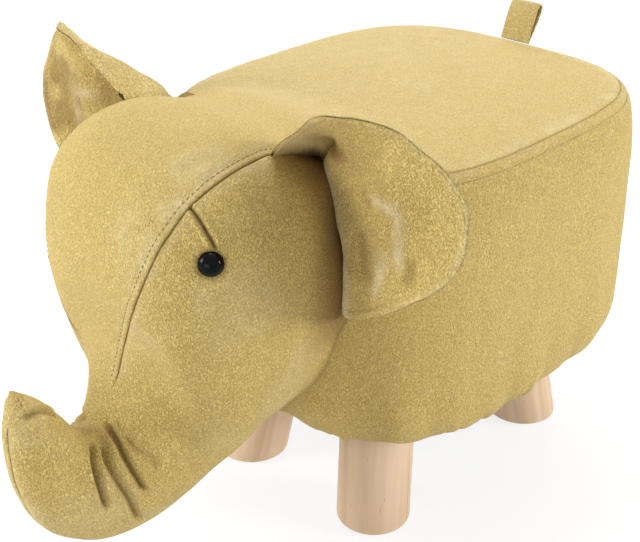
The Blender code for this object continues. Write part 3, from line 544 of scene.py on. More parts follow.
def suede(name, lie=(1.0, 1.0, 0.62), contrast=1.0):
    """Mustard suede cloth: a pebbled grain drawn out one way, with painted shade in its valleys, cloudy, lighter
    with wear and painted light, and darkened by painted shade in seams, folds and hollows.
    """
    made, tree, shader = new_finish(name)
    place = object_place(tree, lie)
    wander = add_node(tree, "TexNoise", {"Vector": place, "Scale": 560.0, "Detail": 2.0}, out="Color")
    shifted = add_node(tree, "VectorMath", {0: wander, 1: (0.0012, 0.0012, 0.0012), 2: place},
                       operation="MULTIPLY_ADD")
    pebbles = add_node(tree, "TexVoronoi", {"Vector": shifted, "Scale": 1350.0}, out="Distance")
    crinkle = worked(tree, "ABSOLUTE", worked(tree, "ADD", grain(tree, shifted, 800.0, 1.0, 0.5), -0.5))
    crinkle = worked(tree, "MINIMUM", worked(tree, "MULTIPLY", crinkle, 7.0), 1.0)
    height = worked(tree, "MULTIPLY_ADD", pebbles, -0.65, 0.75)
    height = worked(tree, "MULTIPLY_ADD", crinkle, 0.35, height)
    height = worked(tree, "MULTIPLY_ADD", grain(tree, place, 2400.0, 2.0), 0.16, height)
    # Painted shade of the fine relief: the pebbles' valleys take the darker colour and their crests the lighter,
    # over the cloth's own colour
    colour = ramp(tree, height, [(0.72 - 0.22 / contrast, CLOTH_SHADED_GRAIN),
                                 (min(0.72 + 0.24 / contrast, 1), CLOTH_LIGHT)])
    clouds = worked(tree, "MULTIPLY", grain(tree, place, 30.0, 4.0, 0.5), 0.22)
    colour = mixed(tree, clouds, colour, CLOTH_CLOUD)
    patchy = worked(tree, "MULTIPLY_ADD", grain(tree, place, 160.0, 3.0), 1.5, -0.15)
    # Lighter with wear, and with painted light and sheen where parts are lightened as if lit: the seat's top and the
    # ears' flaps and ridges
    colour = mixed(tree, worked(tree, "MULTIPLY", marked(tree, "wear_and_painted_light"), patchy), colour, CLOTH_WEAR_AND_LIGHT)
    # Painted shade: the cloth darkens towards a dark brown where shade falls in seams, folds and hollows
    colour = mixed(tree, marked(tree, "painted_shade"), colour, CLOTH_PAINTED_SHADE)
    set_inputs(tree, shader, {"Base Color": colour, "Roughness": 0.60, "Specular IOR Level": 0.20,
                              "Sheen Weight": 0.12, "Sheen Roughness": 0.42, "Sheen Tint": (1.0, 0.95, 0.80)})
    raised(tree, height, min(contrast, 1.0), 0.0011)
    return made


def on_cloth(mesh, line):
    """The nearest places on a piece of cloth to a line, with the cloth's normals there."""
    tree = BVHTree.FromPolygons(mesh_points(mesh).tolist(), [tuple(face.vertices) for face in mesh.polygons])
    found = [tree.find_nearest(Vector(point)) for point in line]
    places, normals = (np.array([tuple(hit[part]) for hit in found]) for part in (0, 1))
    padded = np.pad(normals, ((2, 2), (0, 0)), mode="edge")
    return places, sum(padded[first:first + len(normals)] for first in range(5)) / 5


def sew(name, cloth, line, finish, pitch=0.0034, length=0.0024, thickness=0.0006):
    """A row of short thread stitches along a line, half sunk in the cloth."""
    places, normals = on_cloth(cloth, line)
    run = lengths_along(places)
    shares = np.linspace(0, 1, STITCH_ROUND)
    bulge = np.sin(math.pi * (0.08 + 0.84 * shares))[:, None] ** 0.5
    ring = circle(STITCH_ROUND)[None] * thickness / 2 * bulge[..., None]
    up_share = ring[..., 1] + thickness * (bulge - 1.0) * 0.9 + thickness * 0.15
    points, faces = [], []
    for number in range(int(run[-1] / pitch)):
        marks = (number + 0.5 * (1 - length / pitch)) * pitch + length * shares
        centres = places_at(marks, run, places)
        up = unit(places_at(marks, run, normals))
        across = unit(np.cross(up, unit(centres[-1] - centres[0])))
        made = centres[:, None] + up[:, None] * up_share[..., None] + across[:, None] * ring[..., :1]
        faces += grid_faces(numbered(made, len(points)), around=True, caps=2)
        points += made.reshape(-1, 3).tolist()
    stitches = add_piece(name, new_mesh(name, points, faces), finish)
    return stitches


# Ring of the seam between side and top, in even steps from the middle of the front round to the left
dense = np.linspace(-math.pi / 2, 1.5 * math.pi, 8001)
plan_x, plan_y = plan_point(dense, 0.0)
plan_run = lengths_along(np.column_stack([plan_x, plan_y]))
side_angles = np.interp(np.linspace(0, plan_run[-1], SIDE_AROUND + 1)[:-1], plan_run, dense)


def wall_ring(angles, inset_share, drop_share):
    """A ring of the wall between the seam and the foot of the shoulder."""
    neck = neck_share(*plan_point(angles, SHOULDER_INSET))
    x, y = plan_point(angles, SHOULDER_INSET * inset_share * (1 - neck))
    z = SEAM_HEIGHT + NECK_RISE * neck * (1 - drop_share) - SHOULDER_DROP * drop_share
    return np.stack([x, y, z], axis=1)


upright = np.linspace(SEAM_HEIGHT - SHOULDER_DROP, UNDERSIDE_HEIGHT + HEM_RISE, 70)[1:-1]
levels = [(0.0, height) for height in upright]
levels += [(HEM_INSET * inset_share, UNDERSIDE_HEIGHT + HEM_RISE * rise_share)
           for inset_share, rise_share in blend_rows(HEM_SHARES, count=50)]
levels += [(HEM_INSET + TUCK_WIDTH * share, UNDERSIDE_HEIGHT + 0.0003) for share in np.linspace(0, 1, 12)[1:]]
wall = [wall_ring(side_angles, *shares) for shares in blend_rows(SHOULDER_SHARES, count=160)]
wall += [np.column_stack([*plan_point(side_angles, inset), np.full(SIDE_AROUND, height)])
         for inset, height in levels]
wall = np.array(wall)
wall_run = np.r_[0, np.linalg.norm(np.diff(wall, axis=0), axis=2).mean(axis=1).cumsum()]
wall_marks = seam_steps(wall_run[-1], SIDE_ROWS, False, 0.0024, TOPSTITCH_DROP - 0.0014, TOPSTITCH_DROP + 0.0014,
                        0.0004)
at = np.interp(wall_marks, wall_run, np.arange(len(wall)))
low = np.minimum(at.astype(int), len(wall) - 2)
wall = wall[low] + (wall[low + 1] - wall[low]) * (at - low)[:, None, None]
side_mesh = grid_mesh("side_cloth", wall[::-1], around=True)
points = mesh_points(side_mesh)
below_seam = np.repeat(wall_marks[::-1], SIDE_AROUND)
flat_ring = np.tile(circle(SIDE_AROUND), (len(wall), 1))
height = points[:, 2]
pinch = -0.0010 * bell(below_seam - TOPSTITCH_DROP, 0.0011)
seam_pucker = 0.0005 * waves(flat_ring, 0.055, 3) * bell(below_seam, 0.014)
slack = 0.0011 * waves(points, 0.075, 5, 2)
slack += 0.0008 * waves(points * (1, 1, 0.35), 0.030, 6) * smooth_step((0.23 - height) / 0.10)
over_hem = height - UNDERSIDE_HEIGHT
strong = 0.35 + 1.5 * np.clip(waves(flat_ring, 0.30, 8), -0.2, 0.8)
gathers = GATHER_DEPTH * waves(flat_ring, GATHER_WIDTH, 9, 2) * bell(over_hem, GATHER_HEIGHT) * strong
gathers += 0.0016 * waves(flat_ring, 0.15, 10) * bell(over_hem, 0.045)
inward_limit = smooth_step((over_hem + 0.001) / 0.004)
push(side_mesh, seam_fall(below_seam) + pinch + seam_pucker + slack * smooth_step(below_seam / 0.02) * inward_limit
     + gathers)
# Painted shade in the seam's groove, in the gathers' valleys and on the side below each ear, where the ear shades it
mark(side_mesh, "painted_shade", 0.75 * bell(below_seam, 0.0007) + 0.35 * np.clip(-gathers / 0.0015, 0, 1)
     + 0.15 * bell(far_from(left_side(points), UNDER_EAR), 0.050))
worn_edge = 0.30 * bell(below_seam - 0.004, 0.003) * (0.6 + 0.6 * waves(points, 0.02, 12))
mark(side_mesh, "wear_and_painted_light", worn_edge)
side_cloth = add_piece("side_cloth", side_mesh, suede("side_suede", contrast=0.95))
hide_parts("cover_side", "side_wadding")
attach(side_cloth, "stool")


def thread_finish(name, colours, roughness=0.7):
    return plain_finish(name, colours, 1500.0, roughness=roughness, bump=0.0001)


thread = thread_finish("mustard_thread", ((0.62, 0.47, 0.20), (0.80, 0.66, 0.36)), 0.6)
stitch_row = wall[np.abs(wall_marks - TOPSTITCH_DROP).argmin()]
stitch_row = even_line(np.concatenate([stitch_row, stitch_row[:1]]), 700)
side_stitches = sew("side_topstitch", side_mesh, stitch_row, thread, 0.0038, 0.0028, 0.0007)
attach(side_stitches, "stool")


# Top cloth: one panel that covers the foam of the seat and runs on over the neck and the forehead, where
# it narrows to a point at the root of the trunk. Its edge is topstitched 4 mm from the cheeks' seams.

HEAD_REACH = 0.180
HEAD_HEIGHT = 0.303
HEAD_HALF_WIDTH = 0.082
FRONT_Y = SEAT_CENTRE_Y - SEAT_LENGTH / 2
HEAD_SHARES = [
    (-0.030, 0.963, -0.070, 0.342, 0.912, 3.00, 0.10),
    (0.200, 1.000, 0.054, 0.343, 0.990, 2.90, 0.20),
    (0.431, 0.982, 0.176, 0.328, 0.972, 2.70, 0.20),
    (0.593, 0.894, 0.262, 0.295, 0.859, 2.50, 0.12),
    (0.643, 0.762, 0.328, 0.261, 0.677, 2.40, 0.08),
    (0.588, 0.656, 0.412, 0.218, 0.504, 2.20, 0.00),
    (0.581, 0.559, 0.552, 0.193, 0.411, 2.10, 0.00),
    (0.618, 0.478, 0.745, 0.210, 0.339, 2.00, 0.00),
    (0.677, 0.445, 0.909, 0.286, 0.293, 2.00, 0.00),
    (0.747, 0.463, 0.979, 0.386, 0.239, 2.00, 0.00),
    (0.809, 0.514, 0.996, 0.484, 0.193, 2.00, 0.00),
    (0.873, 0.565, 0.984, 0.557, 0.116, 2.00, 0.00),
    (0.945, 0.602, 0.960, 0.602, 0.030, 2.00, 0.00),
]
NECK_STATION = 0.27
PANEL_END = 6.88
NECK_ANGLE = math.radians(35.5)
LEFT_SEAM = (
    [0.27, 1.07, 1.85, 2.43, 2.80, 3.30, 3.60, 3.90, 4.20, 4.50, 4.80, 5.12, 5.50, 5.90, 6.20, 6.41, 6.75, 6.95],
    [35.5, 29.8, 30.8, 31.0, 32.1, 32.2, 31.3, 29.9, 28.2, 25.0, 20.8, 16.3, 10.7, 6.2, 3.4, 1.4, -2.0, -2.0])
RIGHT_SEAM = ([0.27, 1.07, 1.80, 2.43, 3.30, 4.00, 4.40, 5.00, 5.60, 6.20, 6.50, 6.75, 6.95],
              [35.5, 30.6, 39.0, 49.0, 55.0, 66.0, 70.0, 68.0, 60.0, 38.0, 18.0, 2.0, 2.0])
CROWN_POWER = 2.4
CROWN_ROWS = 50
BACK_COLUMNS = 300
PANEL_ROWS = 200
STITCH_FROM_SEAM = 0.0042


def head_skin(stations, angles):
    """Points on the head's skin: angle 0 is the upper line, 90 degrees the animal's left side."""
    row = blend_rows(HEAD_SHARES, stations)
    y = FRONT_Y - row[..., [0, 2]] * HEAD_REACH
    upper, lower = np.moveaxis(np.stack([0 * y, y, row[..., [1, 3]] * HEAD_HEIGHT], axis=-1), -2, 0)
    power = 2 / row[..., 5]
    upward = signed_power(np.cos(angles), power)
    outward = signed_power(np.sin(angles), power)
    place = (upper + lower) / 2 + (upper - lower) / 2 * upward[..., None]
    place[..., 0] += row[..., 4] * HEAD_HALF_WIDTH * outward * (1 + row[..., 6] * upward)
    return place


def panel_angle(stations, side=1):
    """The angle of the forehead's seam. It runs to a point at the trunk's root, fuller on the right side."""
    table = LEFT_SEAM if side > 0 else RIGHT_SEAM
    fine = np.linspace(table[0][0], table[0][-1], 400)
    kernel = np.hanning(15) / np.hanning(15).sum()
    soft = np.convolve(np.pad(np.interp(fine, *table), 7, mode="edge"), kernel, mode="valid")
    return np.radians(np.interp(stations, fine, soft))


def section(station, first, last, count, **fine):
    """Steps round one cross-section of the head, close together at its two seams: points, angles, distances."""
    angles = first + (last - first) * np.linspace(0, 1, 361)
    points = head_skin(np.full_like(angles, station), angles)
    run = lengths_along(points)
    marks = seam_steps(run[-1] + 1e-6, count, **fine)
    angles = np.interp(marks, run, angles)
    return head_skin(np.full_like(angles, station), angles), angles, marks


first_row, _, first_marks = section(NECK_STATION, -NECK_ANGLE, NECK_ANGLE, NECK_COLUMNS + 1)
ring_start = np.interp(NECK_OPENING, plan_x[:2000], plan_run[:2000])
back_run = np.linspace(ring_start, plan_run[-1] - ring_start, BACK_COLUMNS + 1)
neck_run = (2 * first_marks / first_marks[-1] - 1) * ring_start % plan_run[-1]
top_angles = np.interp(np.r_[neck_run[:-1], back_run[:-1]], plan_run, dense)


def crown_ring(angles, share):
    edge = neck_share(*plan_point(angles, SHOULDER_INSET))
    x, y = plan_point(angles, SHOULDER_INSET * (1 - edge), share)
    z = SEAM_HEIGHT + CROWN_RISE * (1 - share ** CROWN_POWER) + NECK_RISE * neck_share(x, y)
    return np.stack([x, y, z], axis=1)


crown_shares = 1 - seam_steps(0.92 * SEAT_WIDTH / 2, CROWN_ROWS, False, 0.0036) / (SEAT_WIDTH / 2)
rings = np.array([crown_ring(top_angles, share) for share in crown_shares])
offset = first_row - rings[0, :NECK_COLUMNS + 1]
after_neck = lengths_along(rings[0, NECK_COLUMNS:])[1:]
before_neck = after_neck[-1] + 0.002 - after_neck
beside = offset[-1] * bell(after_neck, 0.014)[:, None] + offset[0] * bell(before_neck, 0.014)[:, None]
moved = np.concatenate([offset, beside])
rings += moved * (np.clip(1 - (1 - crown_shares) / 0.07, 0, 1) ** 2)[:, None, None]
index = numbered(rings)
top_faces = grid_faces(index, around=True, caps=1)
panel_rows = [first_row]
for station in np.linspace(NECK_STATION, PANEL_END, PANEL_ROWS + 1)[1:]:
    panel_rows.append(section(station, -panel_angle(station, -1), panel_angle(station), NECK_COLUMNS + 1)[0])
panel_rows = np.array(panel_rows)
panel_index = np.concatenate([index[:1, :NECK_COLUMNS + 1], numbered(panel_rows[1:], index.size)])
top_faces += grid_faces(panel_index[::-1])
all_points = np.concatenate([rings.reshape(-1, 3), panel_rows[1:].reshape(-1, 3)])
top_mesh = new_mesh("top_cloth", all_points.tolist(), top_faces)

FOREHEAD_RIPPLES = [[(2.70, 24.0), (3.00, 25.0), (3.25, 26.0)], [(2.90, 19.5), (3.15, 20.5), (3.40, 21.5)],
                    [(1.70, 21.0), (2.00, 19.0), (2.25, 20.0)]]
BROW_PLACE = (2.45, 43.0)
BROW_RISE = 0.0016
BROW_WIDTH = 0.018
EAR_HOLLOW = (0.0585, -0.0593, 0.2825)
WORN_PLACES = [((3.17, 18.0), 0.013), ((2.03, 18.5), 0.012), ((1.82, 21.0), 0.014), ((3.5, 24.0), 0.010),
               ((2.6, 26.0), 0.009)]


def skin_point(station, angle):
    """A point on the head's skin at an angle in degrees."""
    return head_skin(np.array([station]), np.radians([angle]))[0]


def skin_line(table, count=60):
    """A smooth line on the head's skin through stations and angles in degrees."""
    marks = blend_rows(table, count=count)
    return head_skin(marks[:, 0], np.radians(marks[:, 1]))


def ease(mesh, shares, rounds):
    """Lets the cloth settle: each point moves towards the middle of its neighbours by its share."""
    edges = np.array([tuple(edge.vertices) for edge in mesh.edges])
    here, there = np.concatenate([edges, edges[:, ::-1]]).T
    points = mesh_points(mesh)
    count = np.bincount(here)[:, None]
    for _ in range(rounds):
        total = np.zeros_like(points)
        np.add.at(total, here, points[there])
        points += (total / count - points) * shares[:, None]
    set_points(mesh, points)


points = mesh_points(top_mesh)
sides = np.array([key for face in top_mesh.polygons for key in face.edge_keys])
sides, faces_beside = np.unique(sides, axis=0, return_counts=True)
border = np.zeros(len(points), bool)
border[sides[faces_beside == 1]] = True
near_neck = smooth_step((0.034 - np.abs(points[:, 1] - FRONT_Y + 0.004)) / 0.026)
near_neck *= smooth_step((0.105 - np.abs(points[:, 0])) / 0.03)
far_left, share_left = line_distance(points, panel_rows[:, -1])
far_right, share_right = line_distance(points, panel_rows[:, 0])
far_edge, _ = line_distance(points, np.concatenate([rings[0, NECK_COLUMNS:], rings[0, :1]]))
far_seam = np.minimum(far_left, far_right)
far_any = np.minimum(far_seam, far_edge)
ease(top_mesh, 0.6 * near_neck * ~border * smooth_step((far_any - 0.001) / 0.006), 60)

points = mesh_points(top_mesh)
shallow = 1 - smooth_step((share_right - 0.46) / 0.10) * (far_right < far_left)
shallow *= 1 - smooth_step((share_left - 0.955) / 0.03) * (far_left <= far_right)
pinch = -0.0005 * bell(far_seam - STITCH_FROM_SEAM, 0.0011)
slack = 0.0009 * waves(points, 0.070, 21, 2) * smooth_step(far_any / 0.02)
pucker = 0.0004 * waves(points, 0.011, 22) * bell(far_seam, 0.010)
moves = seam_fall(far_any) * shallow + pinch + slack + pucker
brow = skin_point(*BROW_PLACE) * (-1, 1, 1)
moves += BROW_RISE * bell(far_from(points, brow), BROW_WIDTH)
for table in FOREHEAD_RIPPLES:
    ripple, _ = fold_in(points, skin_line(table), 0.0008, 0.0034, 0.8, 0.45)
    moves += ripple
push(top_mesh, moves)
# Painted shade in the seams' grooves and in the hollow by each ear's corner, fainter on the right
beside_ear = far_from(left_side(points), EAR_HOLLOW)
hollow_shade = np.exp(-((beside_ear / 0.0080) ** 4)) * np.where(points[:, 0] > 0, 1.0, 0.3)
mark(top_mesh, "painted_shade", np.maximum(0.72 * bell(far_any, 0.0006) * shallow, hollow_shade))
# Wear in patches on the forehead and beside the seams; the seat's top lighter as painted sheen, partly wear from
# sitting
wear_and_painted_light = 0.60 * np.max([bell(far_from(points, skin_point(*place)), size) for place, size in WORN_PLACES], axis=0)
wear_and_painted_light += 0.40 * shallow * bell(far_any - 0.0045, 0.0034) + 0.22 * smooth_step((points[:, 1] - FRONT_Y) / 0.05)
mark(top_mesh, "wear_and_painted_light", wear_and_painted_light * (0.7 + 0.5 * waves(points, 0.012, 24)))
top_cloth = add_piece("top_cloth", top_mesh, suede("top_suede", contrast=0.85))
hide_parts("cover_top", "forehead_panel", "seat_foam")
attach(top_cloth, "stool")

# Painted shade: a darker copy of the mustard thread, for the stitches on the forehead and the trunk's tip, which
# show dark in shade
shaded_copy_thread = thread_finish("painted_shade_thread", ((0.24, 0.15, 0.04), (0.40, 0.27, 0.09)))
for word, side in SIDES:
    line = []
    for row in panel_rows[2:]:
        inward_row = row[::-side]
        lengths = lengths_along(inward_row)
        if lengths[-1] < 2 * STITCH_FROM_SEAM + 0.003 or (side < 0 and len(line) > 0.5 * PANEL_ROWS):
            break
        line.append(places_at(STITCH_FROM_SEAM, lengths, inward_row))
    stitches = sew("forehead_topstitch_" + word, top_mesh, even_line(line, 300), shaded_copy_thread)
    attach(stitches, "stool")


# Cheeks: the two side cloths of head and trunk, stuffed with fibre, sewn to the forehead panel, to each
# other under the chin and along the trunk, and to the seat's front. A dart runs from the seam to the eye.

CHEEK_FIRST = -0.05
CHEEK_LAST = 12.0
CHEEK_ROWS = 330
CHEEK_COLUMNS = 136
TRUNK_MOUTH = 10.7
EYE_PLACES = {"left": (2.65, 53.0), "right": (2.52, 59.5)}
DARTS = {"left": [(2.405, 29.5), (2.415, 35.0), (2.445, 41.0), (2.470, 46.0), (2.490, 50.6)],
         "right": [(2.33, 47.0), (2.35, 50.0), (2.39, 53.5), (2.42, 56.5)]}
# Each fold's line on the skin, its depth, its width and the strength of its painted shade
CHEEK_FOLDS = [
    ([(8.80, 25), (8.58, 55), (8.15, 74), (7.70, 93), (7.45, 107)], 0.0038, 0.0018, 0.44),
    ([(8.38, 22), (7.96, 54), (7.43, 77), (6.90, 101), (6.43, 134)], 0.0034, 0.0020, 0.32),
    ([(7.42, 4), (7.55, 24), (7.25, 55), (6.80, 82), (6.44, 103)], 0.0038, 0.0018, 0.46),
    ([(7.10, 38), (6.86, 56), (6.36, 76), (6.17, 93)], 0.0012, 0.0020, 0.22),
    ([(10.97, 131), (11.04, 109), (11.05, 84), (10.91, 58), (10.67, 41), (10.2, 26)], 0.0026, 0.0017, 0.25),
]
TIP_STITCH = [(11.80, 100), (11.45, 104), (11.17, 106), (11.02, 106)]
NECK_FULLNESS = ([0.170, 0.186, 0.206, 0.222, 0.240, 0.256, 0.272, 0.300],
                 [0.0, 0.0042, 0.0052, 0.0036, 0.0, 0.0, 0.0038, 0.0038])
NECK_REACH = 0.026

cheek_suede = suede("cheek_suede", contrast=1.35)
fine = np.linspace(CHEEK_FIRST, CHEEK_LAST, 4000)
gap = np.where(fine < 6.0, 0.050, 0.034)
gap = np.where(np.abs(fine - 2.45) < 0.17, 0.009, gap)
stations = spread_steps(fine, gap, CHEEK_ROWS)
for word, side in SIDES:
    sections = [section(station, panel_angle(station, side), math.pi, CHEEK_COLUMNS, fine_to=0.034)
                for station in stations]
    rows, angles, far_upper = (np.array(values)[:, ::-side] for values in zip(*sections))
    far_lower = np.where(stations[:, None] > TRUNK_MOUTH, 0.05, far_upper.max(axis=1, keepdims=True) - far_upper)
    far_upper, far_lower, angles_round = far_upper.ravel(), far_lower.ravel(), np.degrees(angles).ravel()
    rows[-1] *= (0, 1, 1)
    mesh = grid_mesh("cheek_" + word, rows * (side, 1, 1))
    points = mesh_points(mesh)
    mirrored = points * (side, 1, 1)
    far_seam = np.minimum(far_upper, far_lower)
    station_at = np.repeat(stations, CHEEK_COLUMNS)
    shallow = 1 - smooth_step((station_at - 3.5) / 0.6) * (far_upper < far_lower) * (side < 0)
    shallow *= 1 - smooth_step((station_at - 6.2) / 0.3) * (far_upper < far_lower)
    moves = seam_fall(far_seam) * shallow
    fold, dark = fold_in(mirrored, skin_line(DARTS[word]), 0.0024, 0.0013, 0.40, 0.05, sharp=True)
    moves += fold
    # Painted shade in the seams' grooves, in the dart and in the folds
    shades = [0.72 * bell(far_seam, 0.0006) * shallow, 0.66 * dark]
    beyond_seam = smooth_step((angles_round - 25) / 20) if side < 0 else 1
    for table, depth, fold_width, shade in CHEEK_FOLDS:
        fold, dark = fold_in(mirrored, skin_line(table), depth, fold_width, 0.45, 0.16)
        moves += fold * beyond_seam
        shades.append(shade * dark * beyond_seam)
    from_eye = far_from(mirrored, skin_point(*EYE_PLACES[word]))
    moves += -0.0016 * bell(from_eye, 0.0095)
    from_neck = np.maximum(FRONT_Y - 0.001 - mirrored[:, 1], 0.0)
    near_neck = 1 - smooth_step(from_neck / NECK_REACH)
    by_ear = 1 - smooth_step((angles_round - 88.0) / 22.0)
    moves += np.interp(points[:, 2], *NECK_FULLNESS) * near_neck * smooth_step(far_upper / 0.010)
    moves -= 0.0025 * near_neck * (1 - by_ear)
    # Painted shade on the cheek beside the ear at the neck, a painted shadow round the eye's rim and painted shade
    # in the hollow under the ear's corner
    shades += [0.95 * (1 - smooth_step(from_neck / 0.036)) ** 0.8 * by_ear,
               0.55 * bell(from_eye - 0.0070, 0.0016), bell(far_from(mirrored, EAR_HOLLOW), 0.012)]
    if side < 0:
        moves += BROW_RISE * bell(far_from(points, brow), BROW_WIDTH)
    moves += 0.0010 * waves(points, 0.055, 31, 2) * smooth_step(far_seam / 0.02)
    moves += 0.0004 * waves(points, 0.014, 32) * bell(far_seam, 0.012)
    push(mesh, moves)
    mark(mesh, "painted_shade", np.max(shades, axis=0))
    dusty = 0.22 * smooth_step(waves(points, 0.045, 33, 2) / 0.5) * smooth_step(from_neck / 0.03)
    mark(mesh, "wear_and_painted_light", 0.20 * shallow * bell(far_seam - 0.003, 0.0025) + dusty)
    cheek = add_piece("cheek_cloth_" + word, mesh, cheek_suede)
    if side > 0:
        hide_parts("cheek_left", "head_stuffing", "trunk_stuffing")
    else:
        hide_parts("cheek_right")
    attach(cheek, "stool")
    tip_line = even_line(skin_line(TIP_STITCH, 20) * (side, 1, 1), 40)
    stitches = sew("trunk_tip_stitch_" + word, mesh, tip_line, shaded_copy_thread)
    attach(stitches, "stool")


# Eyes: glossy black plastic domes with a narrow flat rim, on a shank that goes through the cheek into a
# washer. Each sits a little sunk in the stuffed cloth.

EYE_RADIUS = 0.0070
EYE_DOME = 0.0058
EYE_SUNK = {"left": 0.0014, "right": 0.0030}
EYE_PROFILE = [(EYE_RADIUS * math.sin(math.pi / 2 * share), EYE_DOME * math.cos(math.pi / 2 * share))
               for share in np.linspace(0.03, 1, 20)]
EYE_PROFILE += [(EYE_RADIUS * 1.01, -0.0004), (EYE_RADIUS * 0.97, -0.0010), (EYE_RADIUS * 0.6, -0.0012)]


def skin_out(stations, angles, step=0.02):
    """The way straight out of the head's skin."""
    along = head_skin(stations + step, angles) - head_skin(stations - step, angles)
    around = head_skin(stations, angles + step) - head_skin(stations, angles - step)
    return unit(np.cross(along, around))


black_gloss, tree, shader = new_finish("gloss_black_plastic")
scuff = grain(tree, object_place(tree), 420.0, 4.0)
colour = ramp(tree, scuff, [(0.3, (0.0015, 0.0015, 0.002)), (0.8, (0.004, 0.004, 0.005))])
set_inputs(tree, shader, {"Base Color": colour, "Roughness": 0.06, "IOR": 1.45, "Specular IOR Level": 0.12})
for word, side in SIDES:
    station, angle = EYE_PLACES[word]
    eye_out = skin_out(np.array([station]), np.radians([angle]))[0]
    grid = [circle(64) * radius + (0, 0, height) for radius, height in EYE_PROFILE[::-1]]
    mesh = grid_mesh("eye", grid, around=True, caps=2)
    outward = Vector(eye_out * (side, 1, 1))
    spin = Vector((0, 0, 1)).rotation_difference(outward).to_matrix().to_4x4()
    seat = Vector(skin_point(station, angle) * (side, 1, 1)) - outward * EYE_SUNK[word]
    mesh.transform(Matrix.Translation(seat) @ spin)
    dome = add_piece("eye_dome_" + word, mesh, black_gloss)
    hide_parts("eye_" + word)
    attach(dome, "stool")


# Ears: two plies of the suede cloth each, sewn face to face, turned and topstitched 5 mm from the edge.
# The base is caught in the seams of head and neck, comes forward beside the cheek and turns outward over
# a worn edge. A soft fold lets the outer flap stand out.

EAR_SPAN = 0.094
EAR_HEIGHT = 0.139
EAR_FORWARD = 0.047
EAR_LIFT = 0.0026
EAR_SEAM = [(1.05, 31.0), (0.75, 31.5), (0.45, 33.0), (0.27, 38.0), (0.27, 60.0), (0.30, 80.0), (0.36, 92.0)]
EAR_EDGE_SHARES = [
    (-0.155, 0.825, 0.775), (-0.05, 0.880, 0.836), (0.074, 0.915, 0.900), (0.180, 0.957, 0.964),
    (0.287, 1.000, 1.000), (0.360, 0.900, 0.998), (0.425, 0.787, 0.993), (0.530, 0.620, 0.971),
    (0.617, 0.511, 0.942), (0.702, 0.447, 0.900), (0.790, 0.380, 0.860), (0.872, 0.319, 0.806),
    (0.968, 0.277, 0.719), (1.000, 0.319, 0.647), (1.000, 0.362, 0.540), (0.947, 0.404, 0.446),
    (0.862, 0.468, 0.374), (0.734, 0.511, 0.302), (0.553, 0.447, 0.209), (0.383, 0.350, 0.129),
    (0.202, 0.220, 0.058), (0.106, 0.128, 0.022), (0.043, 0.060, 0.004),
]
CORNER_MARK = 3
CORNER_LIFT = (0.0005, 0.0, 0.0015)
WORN_EDGE_SHARES = [0.50, 0.58, 0.667, 0.75, 0.833, 0.90, 0.96, 1.0]
WORN_EDGE = [
    (0.0665, -0.0640, 0.2870), (0.0720, -0.0662, 0.2805), (0.0775, -0.0662, 0.2593), (0.0820, -0.0662, 0.2426),
    (0.0860, -0.0662, 0.2255), (0.0869, -0.0662, 0.2106), (0.0848, -0.0650, 0.1982), (0.0795, -0.0612, 0.1895),
]
FOLD_TOP_MARK = 8
FOLD_FOOT_MARK = 20
EAR_COLUMNS = 231
EAR_ROWS = 72
EAR_NOOK = (0.0870, -0.0765, 0.2985)
EAR_THICKNESS = 0.0026
EAR_STITCH = 0.0050
FOLD_SOFTNESS = 0.009
POCKET_MARK = 4.7
POCKET_DEPTH = (-0.0060, 0.0150, -0.0065)
# Each crease's line, how far it stands up or sinks in, and its width
EAR_CREASES = [
    ([(11.2, 0.62), (12.6, 0.65), (14.1, 0.64), (15.3, 0.68), (16.4, 0.76)], 0.0013, 0.0036),
    ([(18.1, 0.72), (16.8, 0.62), (15.6, 0.56), (14.4, 0.57)], 0.0010, 0.0044),
    ([(10.6, 0.48), (11.4, 0.54), (12.1, 0.60), (13.0, 0.63)], 0.0008, 0.0032),
    ([(12.5, 0.32), (13.9, 0.34), (15.1, 0.36), (17.0, 0.42)], -0.0020, 0.0075),
    ([(14.6, 0.72), (15.5, 0.77), (16.4, 0.82)], -0.0016, 0.0042),
    ([(9.0, 0.46), (10.4, 0.46), (11.8, 0.50)], -0.0009, 0.0060),
]

seam_at = np.array(EAR_SEAM)[:, 0], np.radians(np.array(EAR_SEAM)[:, 1])
seam_out = skin_out(*seam_at)
ear_seam = head_skin(*seam_at) + seam_out * EAR_LIFT
ear_seam[CORNER_MARK] += CORNER_LIFT
ear_low = ear_seam[-1]
ear_edge = ear_low + np.array(EAR_EDGE_SHARES) * (EAR_SPAN, -EAR_FORWARD, EAR_HEIGHT)
marks = np.linspace(0, len(ear_edge) - 1, EAR_COLUMNS)
edge_line = blend_rows(ear_edge, marks)
seam_shares = np.interp(marks, [0, 4, 8, 20, 22], [0, 0.5, 0.654, 0.923, 1.0])
seam_marks = seam_shares * (len(ear_seam) - 1)
seam_points = blend_rows(ear_seam, seam_marks)
into_neck = smooth_step((seam_shares - 0.40) / 0.15)[:, None]
roots = seam_points - blend_rows(seam_out, seam_marks) * (0.006 * (1 - into_neck))
roots += into_neck * (-0.002, 0.005, -0.001)
worn_edge = blend_rows(WORN_EDGE, np.interp(seam_shares, WORN_EDGE_SHARES, np.arange(len(WORN_EDGE))))
standing = (smooth_step((marks - 4.1) / 1.3) * smooth_step((22.2 - marks) / 1.4))[:, None]
fold_top, fold_foot = ear_edge[FOLD_TOP_MARK], ear_edge[FOLD_FOOT_MARK]
fold_shares = np.clip((marks - FOLD_TOP_MARK) / (FOLD_FOOT_MARK - FOLD_TOP_MARK), 0, 1)
fold_points = fold_top + (fold_foot - fold_top) * fold_shares[:, None]
turns = seam_points + (edge_line - seam_points) * 0.10
turns += (worn_edge - turns) * standing
middle = []
